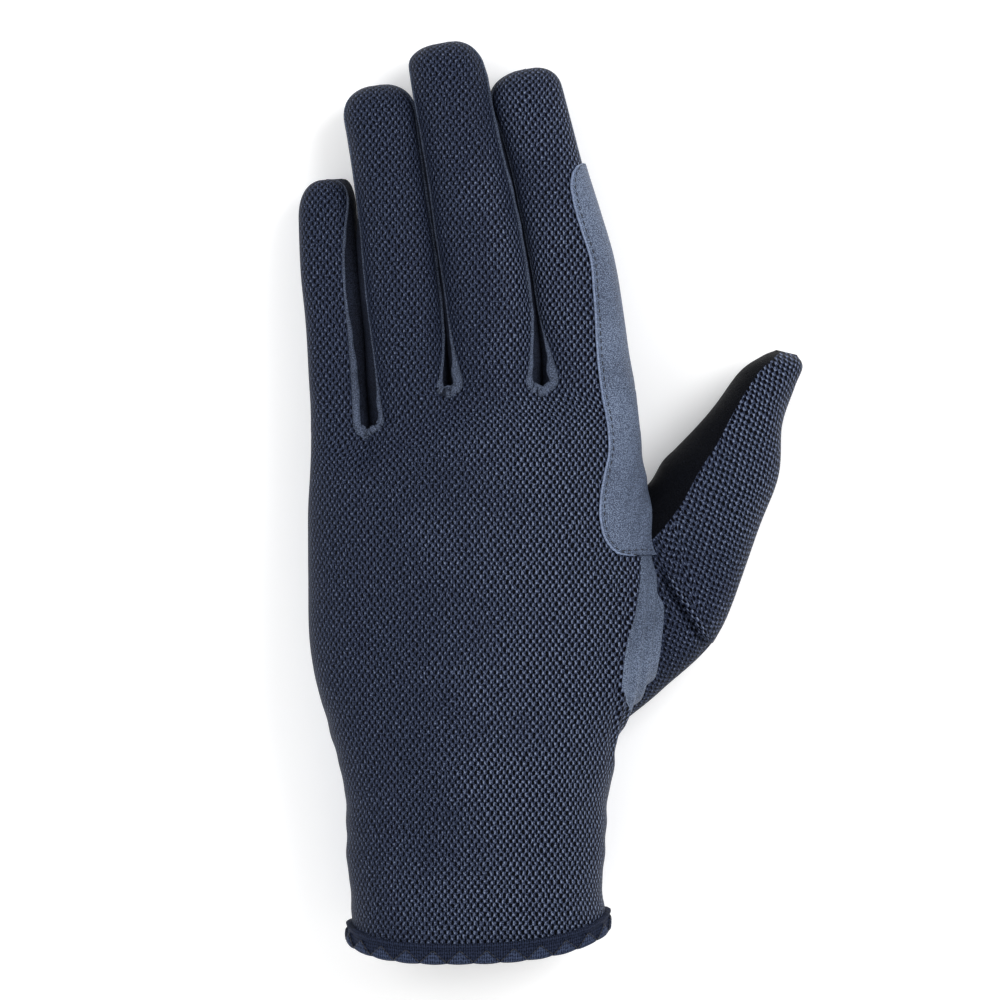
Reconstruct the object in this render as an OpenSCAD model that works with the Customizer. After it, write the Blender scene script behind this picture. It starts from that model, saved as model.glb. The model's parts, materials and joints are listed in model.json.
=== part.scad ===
// Thin riding glove for the left hand, lying palm down.
// X runs across the hand towards the thumb, Y towards the fingertips, Z up out of the back of the hand.
// Every panel is a shell sector: a patch of a cross-section swept along the hand, a finger or the thumb.

/* [Fabric] */
// Thickness of the knitted mesh and of the palm leather
fabric_t = 1.0; // [0.8:0.1:1.2]
// Thickness of the leather reinforcements sewn on top
patch_t = 0.6; // [0.4:0.1:0.8]
// Gap under a patch, where its thread and glue lie
patch_lift = 0.15; // [0.1:0.05:0.3]
// Clearance between panels that move against each other
joint_gap = 0.5; // [0.4:0.1:1]

/* [Fingers] */
// Crotch to tip of the little finger
little_len = 62; // [60:1:64]
// Crotch to tip of the ring finger
ring_len = 79; // [77:1:81]
// Crotch to tip of the middle finger
middle_len = 85.5; // [83:0.5:87]
// Crotch to tip of the index finger
index_len = 79; // [77:1:81]
// Half width lost between the root and the tip of a finger
finger_taper = 1.6; // [1:0.1:2.2]
// Roundness of a finger's cross-section, where 2 is an ellipse
finger_power = 2.4; // [2:0.1:3]

/* [Cuff] */
// Height of the elastic binding around the cuff
binding_h = 3.6; // [3:0.1:5]
// Thickness of the binding
binding_t = 2.0; // [1.6:0.1:2.4]
// How much further the hem falls on the back than at the sides
hem_drop = 10; // [8:1:11]

/* [Joint travel] */
// Flexion of a finger at its root, in degrees
root_flex = 60; // [50:5:60]
// Flexion of a finger's middle joint, in degrees
middle_flex = 75; // [60:5:75]
// Flexion of a finger's end joint, in degrees
tip_flex = 45; // [36:1:45]
// Fold of the whole thumb under the palm, in degrees
thumb_fold = 35; // [25:5:35]
// Flexion of the thumb's end joint, in degrees
thumb_flex = 60; // [45:5:60]

/* [Hidden] */
// Moves the middle of the bounding box onto the origin.
origin_shift = [-0.4, 1.0, 0];

// Each finger: name, crotch point, yaw to the left, length, half width, half thickness, height of the root.
FINGERS = [
    ["little", [-50.8, 16.0], 2.8, little_len, 7.2, 8.0, 17.5],
    ["ring", [-33.6, 22.0], 5.4, ring_len, 9.4, 9.2, 20.0],
    ["middle", [-12.9, 26.4], 8.0, middle_len, 10.2, 9.6, 21.0],
    ["index", [9.3, 27.0], 11.0, index_len, 10.2, 9.4, 20.0]
];
// A hinge stands at these shares of a finger's length, and the last share is its tip.
HINGE_SHARES = [0.09, 0.38, 0.68, 1.0];
// How far each of a finger's three segments dips towards its tip, in degrees.
PITCHES = [4, 8, 12];
FLEXES = [root_flex, middle_flex, tip_flex];
// Backward travel that each joint has beyond straight, in degrees.
EXTENSION = 12;
SEGMENTS = ["proximal", "middle", "distal"];
tip_radius_share = 0.95;
tip_power = 2.4;

// Sector of each wall around a finger, in degrees from the thumb side over the back.
BACK = [41, 139];
FRONT = [221, 319];
INNER_SIDE = [-40, 40];
OUTER_SIDE = [140, 220];
OVERLAY = [-28, 52];

// Outline of the hand: distance along the hand, little finger side, thumb side, underside, top.
HAND = [
    [-112, -48.0, 12.8, 1.2, 43.0],
    [-90, -48.2, 12.8, 1.0, 43.0],
    [-75, -49.4, 13.6, 0.8, 42.6],
    [-62, -51.2, 15.6, 0.2, 42.2],
    [-50, -54.8, 19.5, -0.8, 41.6],
    [-40, -57.4, 25.4, -1.4, 40.8],
    [-26, -58.1, 27.8, -1.4, 39.4],
    [-8, -57.6, 25.8, 0.6, 37.0],
    [8, -57.4, 22.4, 3.6, 34.4],
    [20, -57.6, 21.4, 6.0, 32.2],
    [34, -57.4, 20.0, 8.6, 31.0]
];
hand_power = 2.5;
// Where the hand's shell stops short of the fingers, from the little finger side to the thumb side.
KNUCKLE_LINE = [[-60, 17.5], [-45.5, 19.0], [-41.5, 24.0], [-26, 26.0], [-22, 30.0], [20, 30.0]];
knuckle_z = 20;
hem_y = -99;

// Ribs of the thumb: left edge, right edge, height of the middle, half thickness.
THUMB = [
    [[24.0, 5.0], [28.0, -42.5], 19.0, 15.0],
    [[27.5, 9.0], [42.0, -28.5], 18.0, 14.5],
    [[30.5, 13.0], [50.0, -6.5], 16.5, 13.0],
    [[34.0, 16.5], [54.6, 4.0], 14.5, 11.0],
    [[40.2, 24.3], [55.8, 16.0], 12.0, 9.8],
    [[46.4, 31.4], [58.2, 26.2], 9.8, 9.0],
    [[50.6, 34.4], [60.0, 31.2], 8.8, 7.0],
    [[54.4, 36.2], [58.6, 35.0], 8.4, 3.2]
];
thumb_hinge = 3.4;
thumb_last = 7;
thumb_power = 2.1;
// The thumb's mesh back and its leather front, in degrees around a rib.
THUMB_BACK = [-62, 118];
THUMB_FRONT = [120, 296];
// The thumb bends towards this angle around a rib.
thumb_bend_angle = 205;

mesh_navy = "#2c3345";
palm_navy = "#3a4354";
leather_blue = "#69758a";
binding_navy = "#282e3e";
elastic_black = "#1c1f27";
label_grey = "#c9ccd2";

// ---------- shared geometry ----------
function signed_pow(v, p) = sign(v) * pow(abs(v), p);
function unit_section(angle, power) = [
    signed_pow(cos(angle), 2 / power), signed_pow(sin(angle), 2 / power)
];
function mix(a, b, t) = a + (b - a) * t;
function steps(count) = [for (i = [0:count]) i / count];

// A solid between two grids of points with the same rows and columns. A closed one wraps around its rows.
module shell(outer, inner, closed = false) {
    rows = len(outer);
    cols = len(outer[0]);
    last = closed ? rows - 1 : rows - 2;
    function at(i, j) = (i % rows) * cols + j;
    base = rows * cols;
    function quad(a, b, c, d) = [[a, c, b], [a, d, c]];
    skin = [
        for (i = [0:last], j = [0:cols - 2]) each concat(
            quad(at(i, j), at(i, j + 1), at(i + 1, j + 1), at(i + 1, j)),
            quad(base + at(i + 1, j), base + at(i + 1, j + 1), base + at(i, j + 1), base + at(i, j))
        )
    ];
    ends = [
        for (i = [0:last]) each concat(
            quad(at(i + 1, 0), base + at(i + 1, 0), base + at(i, 0), at(i, 0)),
            quad(at(i, cols - 1), base + at(i, cols - 1), base + at(i + 1, cols - 1), at(i + 1, cols - 1))
        )
    ];
    edges = closed ? [] : [
        for (j = [0:cols - 2]) each concat(
            quad(at(0, j), base + at(0, j), base + at(0, j + 1), at(0, j + 1)),
            quad(at(rows - 1, j + 1), base + at(rows - 1, j + 1), base + at(rows - 1, j), at(rows - 1, j))
        )
    ];
    polyhedron(
        points = concat([for (r = outer) each r], [for (r = inner) each r]),
        faces = concat(skin, ends, edges),
        convexity = 6
    );
}

// ---------- fingers ----------
function hinge(f, k) = f[3] * HINGE_SHARES[k];
// Forward distance and height of the finger's axis at hinge k.
function hinge_point(f, k) = k == 0
    ? [hinge(f, 0), f[6]]
    : hinge_point(f, k - 1)
        + (hinge(f, k) - hinge(f, k - 1)) * [cos(PITCHES[k - 1]), -sin(PITCHES[k - 1])];
function tip_round(f, s) =
    let (r = f[4] * tip_radius_share, t = max(0, (s - f[3] + r) / r))
    pow(max(0, 1 - pow(t, tip_power)), 1 / tip_power);
function finger_half(f, s, half, inset) =
    max(0.05, (half - finger_taper * s / f[3]) * tip_round(f, s) - inset);

// A point at distance s along segment k, at an angle around the finger, inset from its outer surface.
function finger_point(f, k, s, angle, inset) =
    let (
        section = unit_section(angle, finger_power),
        side = finger_half(f, s, f[4], inset) * section[0],
        up = finger_half(f, s, f[5], inset) * section[1],
        start = hinge_point(f, k),
        run = s - hinge(f, k),
        forward = start[0] + run * cos(PITCHES[k]) + up * sin(PITCHES[k]),
        yaw = f[2]
    )
    [
        f[1][0] - sin(yaw) * forward + cos(yaw) * side,
        f[1][1] + cos(yaw) * forward + sin(yaw) * side,
        start[1] - run * sin(PITCHES[k]) + up * cos(PITCHES[k])
    ];

// How far a wall stays from hinge k so that the joint can flex and straighten.
function joint_room(f, k, angle, inset) =
    let (
        up = finger_half(f, hinge(f, k), f[5], inset) * unit_section(angle, finger_power)[1],
        bend_at_rest = k == 0 ? PITCHES[0] : PITCHES[k] - PITCHES[k - 1]
    )
    joint_gap / 2 + (up < 0
        ? -up * tan((FLEXES[k] + bend_at_rest + 2) / 2)
        : up * tan(max(0, EXTENSION - bend_at_rest) / 2));
function segment_start(f, k, angle, inset) = hinge(f, k) + joint_room(f, k, angle, inset);
function segment_end(f, k, angle, inset) =
    k == 2 ? f[3] * 0.998 : hinge(f, k + 1) - joint_room(f, k + 1, angle, inset);

function finger_grid(f, k, sector, from, to, inset, across, along) = [
    for (u = steps(across)) let (angle = mix(sector[0], sector[1], u)) [
        for (v = steps(along)) let (
            // The rings crowd towards a round tip.
            share = k == 2 ? 1 - pow(1 - v, 1.8) : v,
            s = mix(
                segment_start(f, k, angle, inset), segment_end(f, k, angle, inset), mix(from, to, share)
            )
        )
        finger_point(f, k, s, angle, inset)
    ]
];

module finger_wall(f, k, sector, from = 0, to = 1, skin = 0, thick = fabric_t) {
    across = 5;
    along = k == 2 ? 6 : 2;
    shell(
        finger_grid(f, k, sector, from, to, -skin, across, along),
        finger_grid(f, k, sector, from, to, thick - skin, across, along)
    );
}
module finger_back(f, k) { color(mesh_navy) finger_wall(f, k, BACK); }
module finger_front(f, k) { color(palm_navy) finger_wall(f, k, FRONT); }
module finger_sides(f, k) {
    color(palm_navy) {
        finger_wall(f, k, INNER_SIDE);
        finger_wall(f, k, OUTER_SIDE);
    }
}
module finger_patch(f, k, sector, from, to, tint) {
    color(tint) finger_wall(f, k, sector, from, to, skin = patch_t + patch_lift, thick = patch_t);
}

// ---------- hand ----------
function column(n) = [for (r = HAND) [r[0], r[n]]];
function hand_point(y, angle, inset) =
    let (
        left = lookup(y, column(1)),
        right = lookup(y, column(2)),
        low = lookup(y, column(3)),
        high = lookup(y, column(4)),
        section = unit_section(angle, hand_power)
    )
    [
        (left + right) / 2 + ((right - left) / 2 - inset) * section[0],
        y,
        max(inset, (low + high) / 2 + ((high - low) / 2 - inset) * section[1])
    ];
// The hem is level with the sides and falls towards the back of the hand.
function hem(angle, beyond) = hem_y - hem_drop * max(0, sin(angle)) - beyond;
function knuckle_end(angle, inset) =
    let (p = hand_point(HAND[9][0], angle, inset))
    lookup(p[0], KNUCKLE_LINE) - max(0, knuckle_z - p[2]) * tan((root_flex + PITCHES[0]) / 2);
function hand_grid(sector, y0, y1, inset, across, along) = [
    for (u = steps(across)) let (angle = mix(sector[0], sector[1], u)) [
        for (v = steps(along)) let (
            from = y0 == undef ? hem(angle, 0) : y0,
            to = y1 == undef ? knuckle_end(angle, inset) : y1
        )
        hand_point(mix(from, to, v), angle, inset)
    ]
];
module hand_wall(sector, y0, y1, across, along, skin = 0, thick = fabric_t) {
    shell(
        hand_grid(sector, y0, y1, -skin, across, along),
        hand_grid(sector, y0, y1, thick - skin, across, along)
    );
}

module back_panel() { color(mesh_navy) hand_wall([-14, 194], undef, undef, 30, 12); }
module palm_panel() { color(palm_navy) hand_wall([194.5, 345.5], undef, undef, 26, 14); }
module cuff_binding() {
    count = 40;
    outside = (binding_t - fabric_t) / 2;
    function ring(inset) = [
        for (i = [0:count - 1]) let (angle = 360 * i / count) [
            for (beyond = [binding_h, 0.05]) hand_point(HAND[1][0], angle, inset)
                + [0, hem(angle, beyond) - HAND[1][0], 0]
        ]
    ];
    color(binding_navy) shell(ring(-outside), ring(binding_t - outside), closed = true);
}
module wrist_elastic() {
    color(elastic_black) hand_wall([205, 335], -66, -54, 16, 2, skin = -fabric_t - patch_lift, thick = patch_t);
}
module care_label() {
    color(label_grey) hand_wall([228, 248], -92, -80, 3, 1, skin = -fabric_t - patch_lift, thick = 0.3);
}
// Lowest and highest inner surface of the hand above a point of the plan.
function hand_span(x, y) =
    let (
        mid = (lookup(y, column(1)) + lookup(y, column(2))) / 2,
        half = (lookup(y, column(2)) - lookup(y, column(1))) / 2 - fabric_t,
        base = (lookup(y, column(3)) + lookup(y, column(4))) / 2,
        rise = (lookup(y, column(4)) - lookup(y, column(3))) / 2 - fabric_t,
        share = pow(max(0, 1 - pow(abs(x - mid) / half, hand_power)), 1 / hand_power)
    )
    [base - rise * share, base + rise * share];
// Each crotch is an upright web between two neighbouring fingers, with a rolled foot.
module fourchette_crotches() {
    web_t = 2.4;
    web_len = 5;
    foot_t = 4;
    foot_len = 2.2;
    behind_knuckles = 7;
    clear = 0.6;
    color(palm_navy) for (i = [0:2]) {
        a = FINGERS[i];
        b = FINGERS[i + 1];
        x = (a[1][0] + b[1][0] + a[4] - b[4]) / 2;
        y = lookup(x, KNUCKLE_LINE) - behind_knuckles;
        corners = [for (side = [-1, 1], end = [-foot_len / 2, web_len]) hand_span(x + side * foot_t / 2, y + end)];
        low = max([for (c = corners) c[0]]) + clear;
        high = min([for (c = corners) c[1]]) - clear;
        translate([x, y, low]) {
            translate([-web_t / 2, 0, 0]) cube([web_t, web_len, high - low]);
            translate([-foot_t / 2, -foot_len / 2, 0]) cube([foot_t, foot_len, high - low]);
        }
    }
}
module index_overlay_hand() {
    color(leather_blue) hand_wall([2, 50], -12.5, 26, 8, 5, skin = patch_t + patch_lift, thick = patch_t);
}
module rein_patch_palm() {
    color(leather_blue) hand_wall([226, 252], -6, 8, 5, 3, skin = patch_t + patch_lift, thick = patch_t);
}

// ---------- thumb ----------
function rib(r) =
    let (i = min(floor(r), thumb_last - 1), t = r - i, a = THUMB[i], b = THUMB[i + 1])
    [for (n = [0:3]) mix(a[n], b[n], t)];
function thumb_point(r, angle, inset) =
    let (
        p = rib(r),
        span = p[1] - p[0],
        half = norm(span) / 2,
        section = unit_section(angle, thumb_power),
        flat = (p[0] + p[1]) / 2 + span / norm(span) * max(0.05, half - inset) * section[0]
    )
    [flat[0], flat[1], p[2] + max(0.05, p[3] - inset) * section[1]];
// Share of a rib that a joint's wedge takes away on the side that the thumb bends to.
function bend_side(angle) = max(0, cos(angle - thumb_bend_angle));
function thumb_root(angle) = 0.16 + 0.75 * max(0, -sin(angle)) + 0.2 * max(0, sin(angle));
function thumb_cut(angle, side) = thumb_hinge + side * (0.04 + 0.68 * bend_side(angle));
function thumb_grid(sector, tip, inset, across, along) = [
    for (u = steps(across)) let (
        angle = mix(sector[0], sector[1], u),
        from = tip ? thumb_cut(angle, 1) : thumb_root(angle),
        to = tip ? thumb_last : thumb_cut(angle, -1)
    )
    [for (v = steps(along)) thumb_point(mix(from, to, v), angle, inset)]
];
module thumb_wall(sector, tip) {
    across = 9;
    along = tip ? 7 : 6;
    shell(
        thumb_grid(sector, tip, 0, across, along),
        thumb_grid(sector, tip, fabric_t, across, along)
    );
}
module thumb_back(tip) { color(mesh_navy) thumb_wall(THUMB_BACK, tip); }
module thumb_front(tip) { color(palm_navy) thumb_wall(THUMB_FRONT, tip); }

// ---------- nodes ----------
module part(name) {
    translate(origin_shift) children();
}
part("back_panel") back_panel();
part("palm_panel") palm_panel();
part("cuff_binding") cuff_binding();
part("wrist_elastic") wrist_elastic();
part("care_label") care_label();
part("fourchette_crotches") fourchette_crotches();
part("index_overlay_hand") index_overlay_hand();
part("index_overlay_proximal") finger_patch(FINGERS[3], 0, OVERLAY, 0, 1, leather_blue);
part("index_overlay_middle") finger_patch(FINGERS[3], 1, OVERLAY, 0, 0.95, leather_blue);
part("rein_patch_palm") rein_patch_palm();
part("rein_patch_ring") finger_patch(FINGERS[1], 0, [228, 312], 0, 1, leather_blue);
part("rein_patch_little") finger_patch(FINGERS[0], 0, [228, 312], 0, 1, leather_blue);
part("thumb_base_back") thumb_back(false);
part("thumb_base_front") thumb_front(false);
part("thumb_tip_back") thumb_back(true);
part("thumb_tip_front") thumb_front(true);
for (f = FINGERS, k = [0:2]) {
    stem = str(f[0], "_", SEGMENTS[k]);
    part(str(stem, "_back")) finger_back(f, k);
    part(str(stem, "_front")) finger_front(f, k);
    part(str(stem, "_sides")) finger_sides(f, k);
}
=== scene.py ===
import json
import math

import bpy
import numpy as np
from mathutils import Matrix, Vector


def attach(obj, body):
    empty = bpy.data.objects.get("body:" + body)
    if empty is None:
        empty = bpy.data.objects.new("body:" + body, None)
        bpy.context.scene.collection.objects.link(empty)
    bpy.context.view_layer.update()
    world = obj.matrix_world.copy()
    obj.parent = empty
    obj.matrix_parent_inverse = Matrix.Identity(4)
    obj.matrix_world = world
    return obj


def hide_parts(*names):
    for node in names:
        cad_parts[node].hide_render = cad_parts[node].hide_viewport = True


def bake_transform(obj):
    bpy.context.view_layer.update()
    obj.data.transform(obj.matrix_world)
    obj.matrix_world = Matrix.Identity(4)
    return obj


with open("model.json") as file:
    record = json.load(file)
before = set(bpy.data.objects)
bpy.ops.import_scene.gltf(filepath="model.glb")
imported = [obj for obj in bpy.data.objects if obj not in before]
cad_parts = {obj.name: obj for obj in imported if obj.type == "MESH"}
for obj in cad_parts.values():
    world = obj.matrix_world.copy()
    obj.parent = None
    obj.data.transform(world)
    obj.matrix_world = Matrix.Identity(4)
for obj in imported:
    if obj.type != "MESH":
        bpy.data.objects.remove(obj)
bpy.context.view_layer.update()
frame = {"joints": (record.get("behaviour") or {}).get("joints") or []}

# The glove lies palm down: +X towards the thumb, +Y towards the fingertips, +Z out of the back of the hand.
# Outlines are in millimetres from a point on the back of the hand, and OFFSET moves them into the frame.
MM = 0.001
JOINT = {j["name"]: np.array(j["pos_m"]) / MM for j in frame["joints"]}

# Thickness of the fabric, of the leather patches and of the strips inside the wrist.
FABRIC_T = 0.8
PATCH_T = 0.7
STRIP_T = 0.5
# How square the sections of the hand, the fingers and the thumb are. 2 is an ellipse.
HAND_POWER = 2.5
FINGER_POWER = 2.4
THUMB_POWER = 2.1
# Rows and columns of the grids that the fabric is made from.
HAND_ROWS = 130
FINGER_ROWS = 96
TOP_COLUMNS = 26
SIDE_COLUMNS = 12
THUMB_ROWS = 150
THUMB_COLUMNS = 80
# The underside's column below the index finger reaches round the thumb side of the hand.
UNDER_COLUMNS = 64
PATCH_ROWS = 26
# Lengths shorter than TINY are nothing, and a row of a grid smaller than POINT is a point.
TINY = 1e-9
POINT = 1e-3

# ---------------- outlines

# Distance along the hand, little finger side, thumb side, underside, top.
HAND = np.array([
    [-116, -47.9, 13.4, 1.4, 42.6],
    [-100, -47.7, 13.4, 1.2, 42.6],
    [-91, -47.9, 12.8, 1.0, 42.6],
    [-80, -48.5, 13.2, 0.8, 42.6],
    [-70, -49.4, 14.0, 0.6, 42.4],
    [-62, -50.6, 15.5, 0.2, 42.0],
    [-56, -52.3, 16.6, -0.3, 41.6],
    [-50, -54.1, 19.4, -0.8, 41.2],
    [-40, -56.5, 25.4, -1.4, 40.2],
    [-26, -58.1, 27.8, -1.4, 38.8],
    [-16, -58.3, 26.4, -0.6, 37.6],
    [-4, -57.8, 24.3, 1.2, 36.0],
    [8, -57.3, 21.8, 3.6, 34.2],
    [20, -57.2, 20.6, 6.0, 32.2],
    [34, -57.2, 19.0, 8.6, 31.0],
])
# The fabric of the hand and fingers is never lower than this.
PALM_Z = 0.15

# Each finger's axis starts at base, at a height, and leans to the little finger side by some degrees.
# thick is half its thickness, and left and right are the half widths along it. tip_round is how long the
# rounding of the tip is at each side, and seam_right the angle of the back's right seam along it.
SEAM = [(0, 40), (8, 31), (22, 17), (60, 13)]
FINGERS = {
    "little": {
        "base": (-50.8, 16.0), "lean": 2.8, "length": 62, "height": 17.5, "thick": 8.0, "tip_round": (10, 9),
        "left": [(-2, 6.6), (5, 6.3), (17, 6.45), (29, 6.6), (39, 7.05), (48, 7.1), (62, 6.9)],
        "right": [(0, 5.6), (4, 5.7), (13, 6.1), (23, 6.5), (34, 6.1), (45, 5.8), (62, 6.3)],
        "seam_right": [(0, 44), (12, 50), (26, 58), (42, 56), (54, 38), (62, 20)],
    },
    "ring": {
        "base": (-33.6, 22.0), "lean": 5.4, "length": 79, "height": 20.0, "thick": 9.2, "tip_round": (9, 9),
        "left": [(-4.5, 8.0), (6, 7.9), (15.5, 7.7), (29, 7.85), (45, 7.8), (58, 8.15), (67, 8.7), (73, 9.2),
                 (79, 9.3)],
        "right": [(3.7, 8.6), (6.7, 9.1), (15, 9.9), (27, 9.95), (43.6, 9.3), (60, 8.5), (79, 7.6)],
        "seam_right": SEAM,
    },
    "middle": {
        "base": (-12.9, 26.4), "lean": 8.0, "length": 85.4, "height": 21.0, "thick": 9.6,
        "tip_round": (5.5, 10),
        "left": [(1.8, 9.5), (13, 9.45), (25, 9.05), (41.5, 9.1), (58, 9.2), (73, 9.65), (85.4, 9.8)],
        "right": [(-1, 9.0), (3, 9.8), (13.7, 11.2), (27.7, 11.5), (38.7, 11.0), (49, 10.3), (62, 9.0),
                  (85.4, 7.6)],
        "seam_right": SEAM,
    },
    "index": {
        "base": (9.3, 27.0), "lean": 11.0, "length": 79, "height": 20.0, "thick": 9.4, "tip_round": (9.5, 6),
        "left": [(2, 8.7), (9, 8.4), (16.5, 8.6), (30.6, 8.1), (41.5, 7.9), (52, 8.1), (65, 9.0), (73, 9.9),
                 (79, 10.1)],
        "right": [(-4, 10.4), (6, 10.3), (16, 10.9), (30.6, 11.2), (40.5, 10.3), (50.6, 9.2), (60.5, 8.6),
                  (79, 7.2)],
        "seam_right": [(0, 12), (79, 12)],
    },
}
NAMES = list(FINGERS)
INDEX = 3
# A finger's three hinges as shares of its length, its bodies with the degrees that each dips, and the
# names of the visible pieces that lie across the three hinges.
HINGES = (0.09, 0.38, 0.68)
PITCH = {"proximal": 4, "middle": 8, "distal": 12}
SEGMENTS = list(PITCH)
PARTS = ("root", "middle", "tip")
# A finger is thinner by this much at its tip.
TAPER = 1.6
# Outer edges and webs, from the little finger side to the thumb side, at the row where the fingers begin.
CROTCH = [(-57.3, 17.5), (-43.9, 15.9), (-24.2, 26.0), (-2.1, 26.3), (19.6, 27.4)]
# Length over which a web's outline turns into the edges of the fingers beside it.
WEB_RISE = 3.3
# Where the hand's outlines reach the cuff, and where the lines between the columns of fabric do.
CUFF_Y = -100.0
CUFF_X = [None, -33.5, -18.0, -3.0, None]
# The hem's level, how much nearer the fingers it is on the thumb side and further on the other, and how much
# further on the back.
HEM_Y = -98.9
CUFF_SIDE_RISE = 1.5
CUFF_TOP_DROP = 5.7
# Places along and across the hand of the seam between the mesh back and the palm, on the thumb side.
THUMB_SIDE_SEAM = [(-100, 12.2), (-80, 12.7), (-62, 15.0), (-52, 16.1), (-42, 17.0), (-32, 18.4), (-22, 21.0),
                   (-13, 21.6), (0, 21.4), (16, 20.2), (34, 19.2)]
# Nearer the wrist that seam passes below the hand's widest line. These are angles around a section.
WRIST_SEAM_ANGLE = -26
LITTLE_SIDE_SEAM_ANGLE = 190
UNDER_SEAM_ANGLE = 42

# Ribs of the thumb: left edge, right edge, height of the middle, half thickness.
THUMB = [
    [(19.0, 3.0), (16.4, -53.6), 14.0, 10.5],
    [(23.4, 4.6), (27.0, -45.0), 14.3, 11.5],
    [(27.0, 10.0), (40.4, -31.4), 14.8, 12.2],
    [(30.4, 13.2), (49.7, -7.0), 14.6, 12.0],
    [(34.6, 17.6), (54.8, 6.0), 13.6, 10.8],
    [(40.4, 24.5), (56.1, 18.8), 11.8, 9.6],
    [(46.2, 31.6), (58.7, 28.0), 9.9, 8.4],
    [(50.8, 34.9), (60.7, 32.8), 9.0, 6.4],
    [(54.6, 36.9), (59.6, 35.7), 8.5, 2.6],
]
LAST_RIB = len(THUMB) - 1
# Angles of the thumb's two seams, the rib between its base and its tip, the lean of its weave, and the two
# ends of the fold across its base.
THUMB_SEAMS = (-64, 116, 296)
THUMB_CUT = 3.35
THUMB_LEAN = -20
THUMB_FOLD = np.array([(27.6, -17.0), (38.0, -33.4)])
# The way the thumb leaves the hand, and distances before and behind its hinges that set where each part's
# blend begins and ends.
THUMB_WAY = np.array([1.0, 0.084, 0])
THUMB_BASE_BEND = (-3.5, 6.5)
THUMB_TIP_BEND = (-6.0, 9.0)

# Edge of the leather reinforcement along the index finger, from the wrist end to the finger end, where its
# ends lie along the hand, and how far it goes round the thumb side, in columns of the underside.
OVERLAY_EDGE = [(-12.6, 21.0), (-12.3, 17.6), (-11.4, 15.2), (-10.0, 13.8), (-6, 12.1), (-0.5, 11.7),
                (6, 12.6), (12, 13.8), (17, 13.7), (27, 12.1), (33, 11.4), (50, 10.3), (58.6, 9.4), (65, 7.4),
                (72, 5.5), (77, 5.0), (79.5, 5.7), (80.7, 6.9), (81.2, 8.6)]
OVERLAY_ENDS = (-12.5, 81.0)
OVERLAY_REACH = 24.0
OVERLAY_COLUMNS = 22

# Distances between holes of the mesh, across and along the hand, and from a hole to the loop beside it.
WEAVE = (1.55, 2.16)
LOOP_SHIFT = 0.33
# The weave opens along its first coordinate, so this shift sets how open it is on the thumb.
THUMB_WEAVE_SHIFT = 32 * WEAVE[0]

# A stitch of thread: length, gap to the next, radius, its thickness and height at six places along it, and
# how far inside the overlay's edge the row lies.
STITCH = 1.25
STITCH_GAP = 0.55
STITCH_RADIUS = 0.13
STITCH_TAPER = np.array([0.35, 0.85, 1.0, 1.0, 0.85, 0.35])
STITCH_ARCH = np.array([[-0.12], [0.03], [0.08], [0.08], [0.03], [-0.12]])
STITCH_INSET = 0.95

# Rolls on the back seams, by finger and side: thickness, what it gains at the web, and where that gain
# begins and ends. The seams of the front have the same one everywhere.
ROLLS = {
    (0, 1): (0.36, 0.62, 10, 34), (1, -1): (0.26, 0.5, 3, 12), (1, 1): (0.44, 0.3, 2, 10),
    (2, -1): (0.26, 0.95, 2, 18), (2, 1): (0.44, 0.3, 2, 10), (3, -1): (0.26, 0.95, 2, 18),
}
FRONT_ROLL = (0.34, 0.2, 4, 24)
# Wavelengths of the pleats in the rolls at the webs.
PLEATS = (2.1, 0.9)

# Cross-section of the cuff's binding: out of the fabric, and down from the top of the binding.
BINDING_SECTION = [
    (0.05, -0.55), (0.55, -0.62), (0.95, -0.4), (1.08, 0.0), (0.92, 0.42), (0.78, 0.75), (0.84, 1.1),
    (0.9, 1.5), (0.94, 1.9), (0.96, 2.3), (0.95, 2.7), (0.9, 3.1), (0.8, 3.5), (0.55, 3.85), (0.15, 4.08),
    (-0.35, 4.1), (-0.8, 3.8), (-1.05, 3.2), (-1.15, 2.2), (-1.15, 1.2), (-1.1, 0.3), (-0.95, -0.3),
    (-0.6, -0.6),
]
CUFF_COLUMNS = 720
# The zigzag seam's pitch, and its top and bottom below the top of the binding.
ZIGZAG_PITCH = 6.4
ZIGZAG_TOP, ZIGZAG_BOTTOM = 1.0, 3.5


# ---------------- curves and sections

def smoothstep(x, low, high):
    t = np.clip((np.asarray(x, float) - low) / (high - low), 0, 1)
    return t * t * (3 - 2 * t)


def through(points, x):
    """A smooth curve through (x, y) points."""
    xs, ys = np.array(points, float).T
    slopes = np.gradient(ys, xs)
    x = np.clip(np.asarray(x, float), xs[0], xs[-1])
    i = np.clip(np.searchsorted(xs, x, side="right") - 1, 0, len(xs) - 2)
    h = xs[i + 1] - xs[i]
    t = (x - xs[i]) / h
    return ((2 * t**3 - 3 * t**2 + 1) * ys[i] + (t**3 - 2 * t**2 + t) * h * slopes[i]
            + (3 * t**2 - 2 * t**3) * ys[i + 1] + (t**3 - t**2) * h * slopes[i + 1])


def section(degrees, power):
    """A point of a rounded box's outline, from -1 to 1 each way."""
    c, s = np.cos(np.radians(degrees)), np.sin(np.radians(degrees))
    return np.sign(c) * np.abs(c) ** (2 / power), np.sign(s) * np.abs(s) ** (2 / power)


def section_angle(x, power):
    """The angle of the upper half of a section at which it reaches x."""
    x = np.clip(x, -1, 1)
    return np.degrees(np.arccos(np.sign(x) * np.abs(x) ** (power / 2)))


def mix(a, b, t):
    return a + (b - a) * t


def unit(v):
    return v / np.maximum(np.linalg.norm(v, axis=-1, keepdims=True), TINY)


def run_along(path):
    """Distance run at each point of a path."""
    return np.concatenate([[0], np.cumsum(np.linalg.norm(np.diff(path, axis=0), axis=1))])


def read_at(places, run, values):
    """Points or directions known along a run, read at other places of it."""
    return np.stack([np.interp(places, run, values[:, k]) for k in range(3)], 1)


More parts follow.
